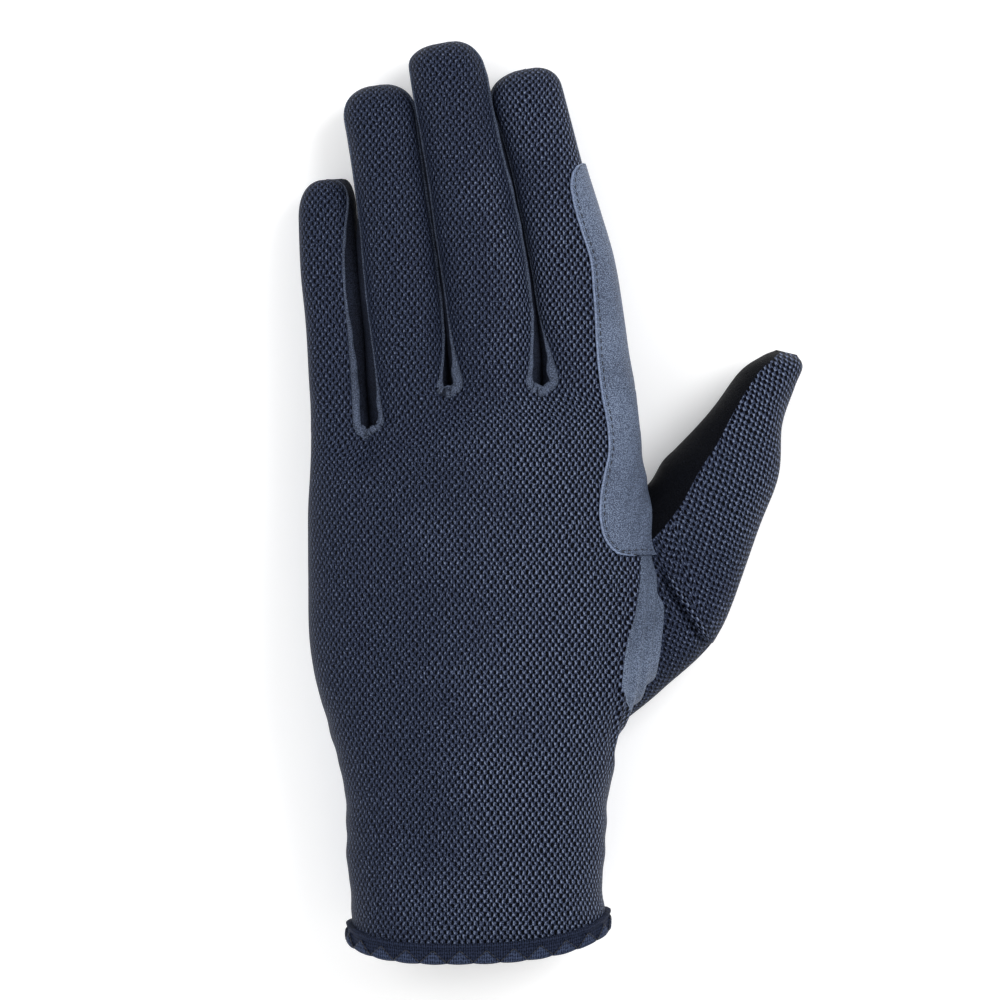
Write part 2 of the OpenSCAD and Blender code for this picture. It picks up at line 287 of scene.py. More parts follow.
def smoothed(values, weights):
    """Weighted running mean along a path."""
    return np.convolve(np.pad(values, len(weights) // 2, mode="edge"), weights, mode="valid")


def waves(p, seed, size):
    """Smooth undulation of space, about -1 to 1, with features of the given size in millimetres."""
    rng = np.random.default_rng(seed)
    count = 10
    total = np.zeros(p.shape[:-1])
    for _ in range(count):
        way = rng.normal(size=3)
        way /= np.linalg.norm(way)
        total += np.cos(p @ way * 2 * np.pi / (size * rng.uniform(0.7, 1.6)) + rng.uniform(0, 2 * np.pi))
    return total / math.sqrt(count * 2)


# ---------------- the hand and fingers as one surface

def hand_sides(y):
    """Little finger side, thumb side, underside and top of the hand."""
    return [through(HAND[:, [0, n]], y) for n in (1, 2, 3, 4)]


def hand_point(y, degrees):
    """Point of the hand's surface at an angle around it."""
    left, right, low, high = hand_sides(y)
    x, z = section(degrees, HAND_POWER)
    return np.stack([
        (left + right) / 2 + (right - left) / 2 * x,
        y,
        np.maximum(PALM_Z, (low + high) / 2 + (high - low) / 2 * z),
    ], -1)


def hem(degrees):
    """The cuff's edge, lower on the back of the hand than at its sides."""
    c, s = np.cos(np.radians(degrees)), np.sin(np.radians(degrees))
    return HEM_Y + CUFF_SIDE_RISE * c - CUFF_TOP_DROP * np.maximum(0, s) ** 1.2


def seam_angle(b, y, upper):
    """Angle around the hand of line b between two columns of fabric."""
    if b == 0:
        return np.full_like(y, LITTLE_SIDE_SEAM_ANGLE if upper else LITTLE_SIDE_SEAM_ANGLE - 360)
    left, right, _, _ = hand_sides(y)
    if b == 4:
        x = through(THUMB_SIDE_SEAM, y)
    else:
        x = mix(CROTCH[b][0], CUFF_X[b], (CROTCH[b][1] - y) / (CROTCH[b][1] - CUFF_Y))
    angle = section_angle((x - (left + right) / 2) / ((right - left) / 2), HAND_POWER)
    if b == 4:
        return mix(angle, WRIST_SEAM_ANGLE, smoothstep(-y, 43, 63))
    return angle if upper else -angle


def finger_direction(f):
    """Ways along a finger and across it."""
    a = math.radians(f["lean"])
    return np.array([-math.sin(a), math.cos(a)]), np.array([math.cos(a), math.sin(a)])


def finger_s(f, point):
    """Distance along a finger's axis of a point of the plan."""
    return float((np.array(point) - f["base"]) @ finger_direction(f)[0])


def finger_height(f, s):
    """Height of a finger's axis, which dips more from each joint to the next."""
    stations = [h * f["length"] for h in (*HINGES, 1)]
    z = [f["height"]]
    for start, end, dip in zip(stations, stations[1:], PITCH.values()):
        z.append(z[-1] - (end - start) * math.sin(math.radians(dip)))
    return through([(stations[0] - 20, z[0] + 0.4)] + list(zip(stations, z)), s)


def round_off(s, length, radius, power=2.5):
    """1 along a finger, falling to 0 over the last radius of its length."""
    t = np.clip((s - length + radius) / radius, 0, 1)
    return (1 - t**power) ** (1 / power)


def finger_rows(f, i):
    """Distances along the axis of each row's left end and right end, and of its middle."""
    start_left, start_right = finger_s(f, CROTCH[i]), finger_s(f, CROTCH[i + 1])
    middle = (start_left + start_right) / 2
    w = np.linspace(0, 1, FINGER_ROWS + 1)
    # Rows crowd together at the web and at the tip, where the outline turns.
    w = mix(w, (1 - np.cos(np.pi * w)) / 2, 0.82)
    s = middle + (f["length"] - middle) * w
    slant = 1 - smoothstep(s, middle, middle + 16)
    return s + (start_left - middle) * slant, s + (start_right - middle) * slant, s


def across(left_seam, right_seam, columns):
    """Angles of the columns of a panel between its two seams, for every row."""
    u = np.linspace(0, 1, columns + 1)[None, :]
    return mix(left_seam[:, None], right_seam[:, None], u)


def web_turn(s, start):
    """1 at a web, falling along a quarter circle to 0 where the finger's edge runs straight."""
    t = np.clip((s - start) / WEB_RISE, 0, 1)
    return 1 - np.sqrt(1 - (1 - t) ** 2)


def edge_line(i, way, s):
    """Plan of one edge of a finger at its widest, with the rounded end of the web and of the tip."""
    f = FINGERS[NAMES[i]]
    forward, side = finger_direction(f)
    web = CROTCH[i + (way > 0)]
    width = through(f["right" if way > 0 else "left"], s)
    width = width * round_off(s, f["length"], f["tip_round"][way > 0])
    at_web = way * float((np.array(web) - f["base"]) @ side)
    width = mix(width, at_web, web_turn(s, finger_s(f, web)))
    return np.array(f["base"]) + forward * s[:, None] + side * way * width[:, None]


def finger_seams(f, i, s):
    """Angles of the four seams around a finger: back left, back right, front left, front right."""
    right = through(f["seam_right"], s)
    left = 180 - through(SEAM, s) if i > 0 else np.full_like(s, LITTLE_SIDE_SEAM_ANGLE)
    under_left = np.full_like(s, 180 + UNDER_SEAM_ANGLE) if i > 0 else left
    under_right = np.full_like(s, -UNDER_SEAM_ANGLE) if i < INDEX else right
    return left, right, under_left, under_right


def crotch_heights():
    """Height of the back's and of the front's seam at each web, shared by the two fingers beside it."""
    heights = np.zeros((5, 2))
    counts = np.zeros((5, 2))
    start = np.zeros(1)
    for i, name in enumerate(NAMES):
        f = FINGERS[name]
        axis = finger_height(f, start)[0]
        left, right, under_left, under_right = finger_seams(f, i, start)
        for b, angles in ((i, (left, under_left)), (i + 1, (right, under_right))):
            for k, angle in enumerate(angles):
                heights[b, k] += axis + f["thick"] * section(angle, FINGER_POWER)[1][0]
                counts[b, k] += 1
    return heights / counts


CROTCH_Z = crotch_heights()


def finger_surface(f, s_ends, plan_ends, near, angles):
    """Points of a finger's surface between the two ends of each row. near is 1 at the web and 0 beyond it."""
    x, z = section(angles, FINGER_POWER)
    # At the web the seams stand right at the ends of the row.
    left, right = [mix(1, 1 / np.maximum(np.abs(x[:, [end]]), 0.2), near[end][:, None]) for end in (0, -1)]
    x = np.clip(x * np.where(x > 0, right, left), -1, 1)
    mid, half = (plan_ends[0] + plan_ends[1]) / 2, (plan_ends[1] - plan_ends[0]) / 2
    flat = mid[:, None, :] + half[:, None, :] * x[..., None]
    s = mix(s_ends[0][:, None], s_ends[1][:, None], (x + 1) / 2)
    thick = (f["thick"] - TAPER * np.clip(s, 0, None) / f["length"]) * round_off(s, f["length"], 9.5)
    height = finger_height(f, s) + thick * z
    return np.concatenate([flat, height[..., None]], -1)


def column(i, kind):
    """Grid of a finger's column of fabric, from the cuff to the tip, and the distances of its finger rows."""
    f = FINGERS[NAMES[i]]
    upper = kind == "top"
    columns = TOP_COLUMNS if upper or i < INDEX else UNDER_COLUMNS
    s_left, s_right, s_mid = finger_rows(f, i)

    # Rows of the hand, from the web down to the cuff.
    t = np.linspace(0, 1, HAND_ROWS + 1)[1:]
    u = np.linspace(0, 1, columns + 1)[None, :]
    at_cuff = np.full_like(t, CUFF_Y)
    y_ends = [mix(CROTCH[b][1], hem(seam_angle(b, at_cuff, upper)), t) for b in (i, i + 1)]
    tau = across(seam_angle(i, y_ends[0], upper), seam_angle(i + 1, y_ends[1], upper), columns)
    web_y = mix(CROTCH[i][1], CROTCH[i + 1][1], u)
    y = mix(web_y, hem(tau[-1:]), t[:, None])
    on_hand = hand_point(y, tau)

    # The finger's own shape runs on over the hand, between the ends of the hand's rows.
    plan_ends, s_ends, near = [], [], []
    for k, way, s_finger in ((0, -1, s_left), (1, 1, s_right)):
        outer = i == (0, INDEX)[k]
        x = hand_sides(y_ends[k])[k] if outer else on_hand[:, -k, 0]
        hand_line = np.stack([x, y_ends[k]], -1)[::-1]
        plan_ends.append(np.concatenate([hand_line, edge_line(i, way, s_finger)]))
        s = np.concatenate([[finger_s(f, p) for p in hand_line], s_finger])
        s_ends.append(s)
        near.append(np.zeros_like(s) if outer else web_turn(s, s_finger[0]))
    s_row = np.concatenate([((s_ends[0] + s_ends[1]) / 2)[:HAND_ROWS], s_mid])
    left, right, under_left, under_right = finger_seams(f, i, np.clip(s_row - s_mid[0], 0, None))
    angles = across(left, right, columns) if upper else across(under_left - 360, under_right, columns)
    pts = finger_surface(f, s_ends, plan_ends, near, angles)

    # Both fingers beside a web meet at its own height.
    fade = 1 - smoothstep(s_row, s_mid[0] + 1, s_mid[0] + 14)
    lift = [((CROTCH_Z[i + k, 0 if upper else 1] - pts[HAND_ROWS, -k, 2]) * fade)[:, None] for k in (0, 1)]
    pts[..., 2] += mix(lift[0], lift[1], u)

    # Below the webs the fingers' roundness dies out into the hand.
    below = np.concatenate([
        np.broadcast_to(web_y, y.shape)[::-1] - y[::-1],
        np.zeros_like(pts[HAND_ROWS:, :, 0]),
    ])
    share = smoothstep(below, 0, 11 if upper else 16)[..., None]
    grid = mix(pts, np.concatenate([on_hand[::-1], pts[HAND_ROWS:]]), share)
    grid[..., 2] = np.maximum(grid[..., 2], PALM_Z)
    return grid, s_mid


def room_beside(i, way, edge):
    """How far a finger's side may bow towards its neighbour, so that the two meet and hide the floor."""
    j = i + way
    other = FINGERS[NAMES[j]]
    web = CROTCH[i + (way > 0)]
    s = np.linspace(finger_s(other, web), other["length"] - 2, 300)
    line = edge_line(j, -way, s)
    order = np.argsort(line[:, 1])
    gap = way * (np.interp(edge[:, 1], line[order, 1], line[order, 0]) - edge[:, 0])
    top = line[:, 1].max()
    return np.clip(gap / 2 + 0.3, -1.2, 4.5) * (1 - smoothstep(edge[:, 1], top - 15, top - 5))


def side_strip(i, way):
    """Grid of the leather strip along a finger's side, web to tip and back seam to front seam."""
    f = FINGERS[NAMES[i]]
    end = -1 if way > 0 else 0
    top_edge = TOPS[i][0][HAND_ROWS:, end]
    low_edge = UNDERS[i][0][HAND_ROWS:, end]
    s = finger_rows(f, i)[way > 0]
    widest = edge_line(i, way, s)
    room = room_beside(i, way, widest)
    v = np.linspace(0, 1, SIDE_COLUMNS + 1)[None, :, None]
    strip = mix(top_edge[:, None, :], low_edge[:, None, :], v)
    # The strip bows out to the finger's full width, and on to its neighbour in the gap between them.
    bow = (widest - (top_edge + low_edge)[:, :2] / 2)[:, None, :]
    _, side = finger_direction(f)
    strip[..., :2] += bow * (1 - np.abs(2 * v - 1) ** 2.6)
    strip[..., :2] += side * way * room[:, None, None] * (1 - np.abs(2 * v - 1) ** 1.4)
    # Gathers run down from the bottom of the web.
    turned = np.arccos(np.clip(1 - (s - s[0]) / WEB_RISE, 0, 1))
    gathers = 0.22 * np.cos(9 * turned) * np.clip(web_turn(s, s[0]) * 3, 0, 1)
    strip[..., :2] += side * way * gathers[:, None, None] * (v * (1 - v) * 4)
    return strip


# ---------------- meshes

def ends_in_point(grid):
    return np.ptp(grid[-1], axis=0).max() < POINT


def grid_normals(grid, outward):
    """Unit normals of a grid, on the side of outward. A last row that is a point uses its neighbours."""
    n = unit(np.cross(np.gradient(grid, axis=1), np.gradient(grid, axis=0)))
    if np.sum(n * outward) < 0:
        n = -n
    if ends_in_point(grid):
        n[-1] = unit(n[-2].mean(axis=0) + n[-3].mean(axis=0))
    return n


def welded(verts, faces):
    """The same faces without repeated corners, for grids whose rows shrink to a point."""
    _, first, inverse = np.unique(np.round(verts, 4), axis=0, return_index=True, return_inverse=True)
    order = np.argsort(first)
    place = np.empty(len(order), int)
    place[order] = np.arange(len(order))
    moved = place[inverse.ravel()]
    out = []
    for face in faces:
        ids = [int(moved[v]) for v in face]
        ring = [v for k, v in enumerate(ids) if v != ids[k - 1]]
        if len(ring) >= 3 and len(set(ring)) == len(ring):
            out.append(tuple(ring))
    return first[order], out, moved


def mesh_object(name, verts, faces, materials, uv=None, sharp=None, slots=None):
    """A smooth piece. uv is per corner point, sharp a list of edges, and slots each face's material."""
    mesh = bpy.data.meshes.new(name)
    mesh.from_pydata(((np.asarray(verts) + OFFSET) * MM).tolist(), [], faces)
    mesh.polygons.foreach_set("use_smooth", [True] * len(mesh.polygons))
    if uv is not None:
        layer = mesh.uv_layers.new(name="weave")
        loops = np.zeros(len(mesh.loops), int)
        mesh.loops.foreach_get("vertex_index", loops)
        layer.data.foreach_set("uv", np.asarray(uv, np.float32)[loops].ravel())
    for material in materials:
        mesh.materials.append(material)
    if slots is not None:
        mesh.polygons.foreach_set("material_index", slots)
    if sharp:
        wanted = {tuple(sorted(e)) for e in sharp}
        flags = [tuple(sorted(e.vertices)) in wanted for e in mesh.edges]
        attribute = mesh.attributes.new("sharp_edge", "BOOLEAN", "EDGE")
        attribute.data.foreach_set("value", flags)
    mesh.validate()
    mesh.update()
    obj = bpy.data.objects.new(name, mesh)
    bpy.context.scene.collection.objects.link(obj)
    return obj


def sheet_mesh(name, grid, normals, thickness, material, uv=None):
    """A panel with a real thickness: the outer grid, the inner grid and the rim between them."""
    rows, cols = grid.shape[:2]
    verts = np.concatenate([grid.reshape(-1, 3), (grid - normals * thickness).reshape(-1, 3)])
    inner = rows * cols
    flip = np.sum(np.cross(np.gradient(grid, axis=1), np.gradient(grid, axis=0)) * normals) < 0
    faces, sharp = [], []

    def quad(*corners):
        faces.append(corners[::-1] if flip else corners)

    for r in range(rows - 1):
        for a in range(r * cols, (r + 1) * cols - 1):
            quad(a, a + 1, a + 1 + cols, a + cols)
            quad(inner + a, inner + a + cols, inner + a + 1 + cols, inner + a + 1)
    rim = [(r * cols, (r + 1) * cols) for r in range(rows - 1)]
    rim += [((r + 2) * cols - 1, (r + 1) * cols - 1) for r in range(rows - 1)]
    rim += [(c + 1, c) for c in range(cols - 1)]
    rim += [(inner - cols + c, inner - cols + c + 1) for c in range(cols - 1)]
    for a, b in rim:
        quad(a, b, inner + b, inner + a)
        sharp += [(a, b), (inner + a, inner + b)]
    coordinates = np.concatenate([uv.reshape(-1, 2)] * 2) if uv is not None else None
    if ends_in_point(grid):
        kept, faces, moved = welded(verts, faces)
        verts = verts[kept]
        coordinates = coordinates[kept] if uv is not None else None
        sharp = [(int(moved[a]), int(moved[b])) for a, b in sharp]
    return mesh_object(name, verts, faces, [material], coordinates, sharp)


def tube(path, radius, up, sides=6, flat=1.0):
    """Vertices and faces of a tube along a path, with closed ends. flat below 1 makes it lower than wide."""
    radius = np.broadcast_to(radius, (len(path),))
    tangent = unit(np.gradient(path, axis=0))
    sideways = unit(np.cross(tangent, up))
    upward = np.cross(sideways, tangent)
    angle = np.linspace(0, 2 * np.pi, sides, endpoint=False)[None, :, None]
    ring = sideways[:, None, :] * np.cos(angle) + upward[:, None, :] * np.sin(angle) * flat
    verts = (path[:, None, :] + ring * radius[:, None, None]).reshape(-1, 3)
    faces = []
    for start in range(0, (len(path) - 1) * sides, sides):
        for c in range(sides):
            a, b = start + c, start + (c + 1) % sides
            faces.append((a, b, b + sides, a + sides))
    faces.append(tuple(range(sides))[::-1])
    faces.append(tuple(range(len(verts) - sides, len(verts))))
    return verts, faces


def joined(parts):
    """Several meshes' vertices and faces as one."""
    verts, faces, count = [], [], 0
    for v, f in parts:
        verts.append(v)
        faces += [tuple(n + count for n in face) for face in f]
        count += len(v)
    return np.concatenate(verts), faces


def stitch_row(path, up):
    """Separate stitches of thread lying along a path."""
    run = run_along(path)
    parts = []
    for start in np.arange(0.3, run[-1] - STITCH, STITCH + STITCH_GAP):
        places = start + np.linspace(0, STITCH, len(STITCH_TAPER))
        rise = read_at(places, run, up)
        line = read_at(places, run, path) + rise * STITCH_ARCH
        parts.append(tube(line, STITCH_RADIUS * STITCH_TAPER, rise))
    return parts


def sample(grid, r, c):
    """Bilinear reading of a grid at fractional rows and columns."""
    r, c = np.clip(r, 0, grid.shape[0] - 1.0001), np.clip(c, 0, grid.shape[1] - 1.0001)
    i, j = r.astype(int), c.astype(int)
    a, b = (r - i)[..., None], (c - j)[..., None]
    return mix(mix(grid[i, j], grid[i, j + 1], b), mix(grid[i + 1, j], grid[i + 1, j + 1], b), a)


# ---------------- materials

class Fabric:
    """A material, with short calls for the nodes that the fabrics, leathers and threads use."""

    def __init__(self, name):
        self.material = bpy.data.materials.new(name)
        self.material.use_nodes = True
        self.tree = self.material.node_tree
        self.shader = self.tree.nodes["Principled BSDF"]

    def fill(self, made, inputs):
        for key, value in inputs.items():
            if isinstance(value, bpy.types.NodeSocket):
                self.tree.links.new(value, made.inputs[key])
            else:
                made.inputs[key].default_value = value

    def add(self, kind, inputs, **settings):
        """Outputs of a new node, whose inputs are values or other nodes' outputs."""
        made = self.tree.nodes.new("ShaderNode" + kind)
        for key, value in settings.items():
            setattr(made, key, value)
        self.fill(made, inputs)
        return made.outputs

    def math(self, operation, *values):
        return self.add("Math", dict(enumerate(values)), operation=operation)[0]

    def vector(self, operation, *values):
        return self.add("VectorMath", dict(enumerate(values)), operation=operation)[0]

    def cosine(self, place, period):
        return self.math("COSINE", self.math("MULTIPLY", place, 2 * math.pi / period))

    def span(self, value, low, high, start=0.0, end=1.0):
        """The value's way from low to high, as a number from start to end."""
        inputs = {"Value": value, "From Min": low, "From Max": high, "To Min": start, "To Max": end}
        return self.add("MapRange", inputs)[0]

    def noise(self, place, scale, detail, roughness=0.5, dimensions="3D"):
        inputs = {"Vector": place, "Scale": scale, "Detail": detail, "Roughness": roughness}
        return self.add("TexNoise", inputs, noise_dimensions=dimensions)

    def ramp(self, factor, stops):
        made = self.tree.nodes.new("ShaderNodeValToRGB")
        self.fill(made, {0: factor})
        while len(made.color_ramp.elements) < len(stops):
            made.color_ramp.elements.new(0.5)
        for element, (place, colour) in zip(made.color_ramp.elements, stops):
            element.position = place
            element.color = (*colour, 1)
        return made.outputs[0]

    def finish(self, colour, height, strength, depth, rough, specular=0.5):
        """Gives the shader its colour, its bump of a depth in metres, and its gloss."""
        bump = self.add("Bump", {"Height": height, "Strength": strength, "Distance": depth})
        self.fill(self.shader, {"Base Color": colour, "Normal": bump[0], "Roughness": rough,
                                "Specular IOR Level": specular})
        return self.material


def srgb(r, g, b):
    """Linear colour from 0 to 255 screen values."""
    return tuple((v / 255 / 12.92) if v <= 10 else ((v / 255 + 0.055) / 1.055) ** 2.4 for v in (r, g, b))


def mesh_fabric(name, stops):
    """Knitted mesh: a mid-toned cloth with staggered holes painted dark as shade, and loops of yarn with a
    painted highlight beside them.
    """
    m = Fabric(name)
    uv = m.add("UVMap", {}, uv_map="weave")[0]
    shift = m.vector("SUBTRACT", m.noise(uv, 0.25, 1.0, dimensions="2D")["Color"], (0.5, 0.5, 0.5))
    split = m.add("SeparateXYZ", {0: m.vector("MULTIPLY_ADD", shift, (0.9, 0.9, 0.0), uv)})
    turns_across = m.math("MULTIPLY", split[0], 2 * math.pi / WEAVE[0])
    wave_across = m.math("COSINE", turns_across)
    wave_along = m.cosine(split[1], WEAVE[1])

    # Towards the thumb and the cuff the cloth is stretched, so its holes are rounder and more open.
    drift = m.noise(uv, 0.045, 1.5, dimensions="2D")[0]
    place = m.math("MULTIPLY_ADD", drift, 44.0, m.math("MULTIPLY_ADD", split[1], -0.12, split[0]))
    opened = m.span(place, -4.0, 24.0)
    narrow = m.math("MULTIPLY", m.math("MULTIPLY_ADD", opened, -0.7, 0.95),
                    m.math("SUBTRACT", 1.0, m.math("ABSOLUTE", wave_across)))
    lattice = m.math("SUBTRACT", m.math("MULTIPLY", wave_across, wave_along), narrow)
    level = m.math("MULTIPLY_ADD", opened, -0.14, 0.08)
    # The holes are painted near black, as the shade inside the glove that shows through them.
    hole = m.add("Clamp", {"Value": m.math("DIVIDE", m.math("SUBTRACT", lattice, level), 0.24)})[0]

    # Beside each hole a loop of yarn stands up with a painted highlight, and fibres break up that highlight.
    # The highlight and the cloth are lighter where the weave is more open.
    beside = m.math("COSINE", m.math("ADD", turns_across, -LOOP_SHIFT * 2 * math.pi))
    loops = m.math("MAXIMUM", m.math("MULTIPLY", beside, wave_along), 0.0)
    stretched = m.add("Mapping", {"Vector": uv, "Scale": (3.3, 2.1, 1.0)})[0]
    fibre = m.span(m.noise(stretched, 1.0, 2.5, 0.7, dimensions="2D")[0], 0.33, 0.7)
    loop_highlight = m.math("MULTIPLY_ADD", opened, 0.14, 0.18)
    base = m.math("MULTIPLY_ADD", opened, 0.07, 0.35)
    body = m.math("MULTIPLY_ADD", loops, loop_highlight, m.math("MULTIPLY_ADD", fibre, 0.46, base))
    cloth = m.math("SUBTRACT", 1.0, hole)
    colour = m.ramp(m.math("MULTIPLY", cloth, body), stops)
    return m.finish(colour, m.math("MULTIPLY_ADD", body, 0.5, cloth), 0.8, 0.0003, 0.5, 0.04)


def leather(name, low, mid, high, rough=0.5, specular=0.25):
    """Fine-grained matt leather."""
    m = Fabric(name)
    place = m.add("TexCoord", {})["Object"]
    cells = m.add("TexVoronoi", {"Vector": place, "Scale": 3300.0, "Randomness": 1.0}, feature="F1")
    grain = m.span(cells["Distance"], 0.15, 0.75, 1.0, 0.0)
    fine = m.noise(place, 5000.0, 2.0, 0.6)[0]
    broad = m.noise(place, 55.0, 3.0)[0]
    speck = m.math("MULTIPLY_ADD", fine, 0.5, m.math("MULTIPLY", grain, 0.35))
    colour = m.ramp(m.math("MULTIPLY_ADD", broad, 0.32, speck), [(0.41, low), (0.58, mid), (0.75, high)])
    worn = m.span(broad, 0.3, 0.7, rough - 0.06, rough + 0.1)
    return m.finish(colour, m.math("MULTIPLY_ADD", fine, 0.5, grain), 0.8, 0.00035, worn, specular)


def ribbed(name, low, high, spacing, rough=0.7):
    """Narrow woven tape with fine ribs."""
    m = Fabric(name)
    uv = m.add("UVMap", {}, uv_map="weave")[0]
    split = m.add("SeparateXYZ", {0: uv})
    fuzz = m.noise(uv, 2.6, 3.0, dimensions="2D")[0]
    cross_ribs = m.math("MULTIPLY_ADD", m.cosine(split[1], spacing * 1.4), 0.08, fuzz)
    tone = m.math("MULTIPLY_ADD", m.cosine(split[0], spacing), 0.16, cross_ribs)
    return m.finish(m.ramp(tone, [(0.25, low), (0.8, high)]), tone, 0.7, 0.0002, rough, 0.06)


def thread(name, colour):
    m = Fabric(name)
    twist = m.noise(m.add("TexCoord", {})["Object"], 2600.0, 2.0)[0]
    shades = [(0.35, tuple(c * 0.6 for c in colour)), (0.65, tuple(c * 1.35 for c in colour))]
    return m.finish(m.ramp(twist, shades), twist, 0.5, 0.0001, 0.5)


MESH = mesh_fabric("mesh_fabric", [(0.0, srgb(0, 1, 5)), (0.28, srgb(5, 8, 18)), (0.5, srgb(18, 23, 37)),
                                   (0.75, srgb(53, 61, 82)), (1.0, srgb(117, 128, 153))])
LEATHER = leather("palm_leather", srgb(56, 65, 83), srgb(96, 109, 133), srgb(136, 150, 175))
OVERLAY = leather("overlay_leather", srgb(58, 67, 86), srgb(96, 109, 134), srgb(140, 155, 181))
SEAM_ROLL = leather("seam_roll", srgb(42, 49, 64), srgb(75, 85, 106), srgb(108, 120, 145))
# The fourchettes and the thumb's front are the palm leather. These two copies of it are darker as painted
# shade: the first for the gaps between the fingers, the second, darker still, for the thumb's front, which
# turns from the light.
SHADED_SIDE_LEATHER = leather("shaded_side_leather", srgb(14, 17, 26), srgb(30, 35, 49), srgb(50, 57, 75), 0.55, 0.12)
SHADED_THUMB_LEATHER = leather("shaded_thumb_leather", srgb(3, 4, 8), srgb(8, 10, 16), srgb(16, 18, 26), 0.55, 0.05)
BINDING = ribbed("binding_tape", srgb(5, 8, 17), srgb(42, 50, 72), 0.55)
# A lighter copy of the tape for its raised triangles: painted light on them.
LIT_BINDING = ribbed("lit_binding_tape", srgb(12, 16, 29), srgb(64, 75, 101), 0.55)
ELASTIC = ribbed("elastic_tape", srgb(12, 13, 18), srgb(40, 43, 52), 1.0)
LABEL = ribbed("label_satin", srgb(176, 180, 186), srgb(214, 216, 220), 0.4, rough=0.4)
THREAD = thread("thread", srgb(14, 18, 31))
# The zigzag's thread is dark partly as its own colour and partly as painted shade of the grooves along the
# triangles' edges.
SHADED_BINDING_THREAD = thread("shaded_binding_thread", srgb(16, 20, 33))
# A pale cord along the overlay's cut edge: a painted highlight.
EDGE_HIGHLIGHT = thread("edge_highlight", srgb(104, 118, 146))


# ---------------- building the surfaces

# The frame's own hinge says how far the outlines are from the frame's origin.
INDEX_FINGER = FINGERS["index"]
DESIGN_HINGE = INDEX_FINGER["base"] + finger_direction(INDEX_FINGER)[0] * HINGES[0] * INDEX_FINGER["length"]
OFFSET = np.append(JOINT["index_root_joint"][:2] - DESIGN_HINGE, 0.0)
TOPS = [column(i, "top") for i in range(4)]
UNDERS = [column(i, "under") for i in range(4)]
S_MID = [top[1] for top in TOPS]
OUTWARD = {"top": (0, 0, 1), "under": (0, 0, -1)}


def relief(grid):
    """How far the fabric stands out of its smooth shape, in millimetres."""
    x, y, z = grid[..., 0], grid[..., 1], grid[..., 2]
    left, right, _, _ = hand_sides(np.minimum(y, 34))
    rel = (x - (left + right) / 2) / ((right - left) / 2)
    on_hand = 1 - smoothstep(y, 0, 30)
    on_back = smoothstep(z, 20, 28)
    soft = 0.3 * waves(grid, 3, 36) + 0.13 * waves(grid, 5, 15)
    # The elastic inside the wrist gathers the fabric into short ripples at both sides.
    wrist = smoothstep(-y, 40, 62) * (1 - smoothstep(-y, 98, 108))
    at_sides = smoothstep(np.abs(rel), 0.7, 0.98)
    ripples = 0.42 * waves(grid * [0.15, 1, 0.15], 9, 9) * wrist * at_sides
    # A shallow valley runs down the back, between the knuckles of the middle and the index finger.
    valley = -0.9 * np.exp(-(((x + 9.5 + 0.03 * y) / 9) ** 2)) * smoothstep(-y, -24, 4) * on_back
    # The leather beside the thumb gathers in long folds.
    beside_thumb = smoothstep(x, 12, 17) * smoothstep(-y, 14, 24) * (1 - smoothstep(-y, 56, 70))
    bent = x - 0.12 * y + 0.9 * waves(grid * [1, 0.3, 1], 12, 20)
    folds = 0.5 * np.cos(2 * np.pi * bent / 2.5) * beside_thumb * (z > 4)
    return soft * (0.4 + 0.6 * on_hand) + ripples + valley + folds


def run_over(distance):
    """Sums of the distances before each point of a row."""
    return np.cumsum(np.concatenate([np.zeros_like(distance[..., :1]), distance], axis=-1), axis=-1)


def weave_coordinates(grid, lean=0.0):
    """Coordinates of the cloth in millimetres, measured along the surface so that holes keep their size."""
    c, s = math.cos(math.radians(lean)), math.sin(math.radians(lean))
    plan = grid[..., :2] @ np.array([[c, s], [-s, c]])
    middle = grid.shape[1] // 2
    way = unit(plan[:, -1] - plan[:, 0])
    way[-1] = way[-2]
    aside = np.stack([-way[:, 1], way[:, 0]], -1)
    step = np.linalg.norm(np.diff(grid, axis=1), axis=-1)
    sideways = np.sum(np.diff(plan, axis=1) * aside[:, None, :], -1)
    over = run_over(np.sqrt(np.maximum(step**2 - sideways**2, 0)))
    off = run_over(sideways)
    rise = (np.linalg.norm(np.diff(grid[:, middle], axis=0), axis=-1)
            - np.linalg.norm(np.diff(plan[:, middle], axis=0), axis=-1))
    uv = plan[:, middle:middle + 1] + (over - over[:, middle:middle + 1])[..., None] * way[:, None, :]
    uv += (off - off[:, middle:middle + 1])[..., None] * aside[:, None, :]
    uv[..., 1] += run_over(rise)[:, None]
    return uv


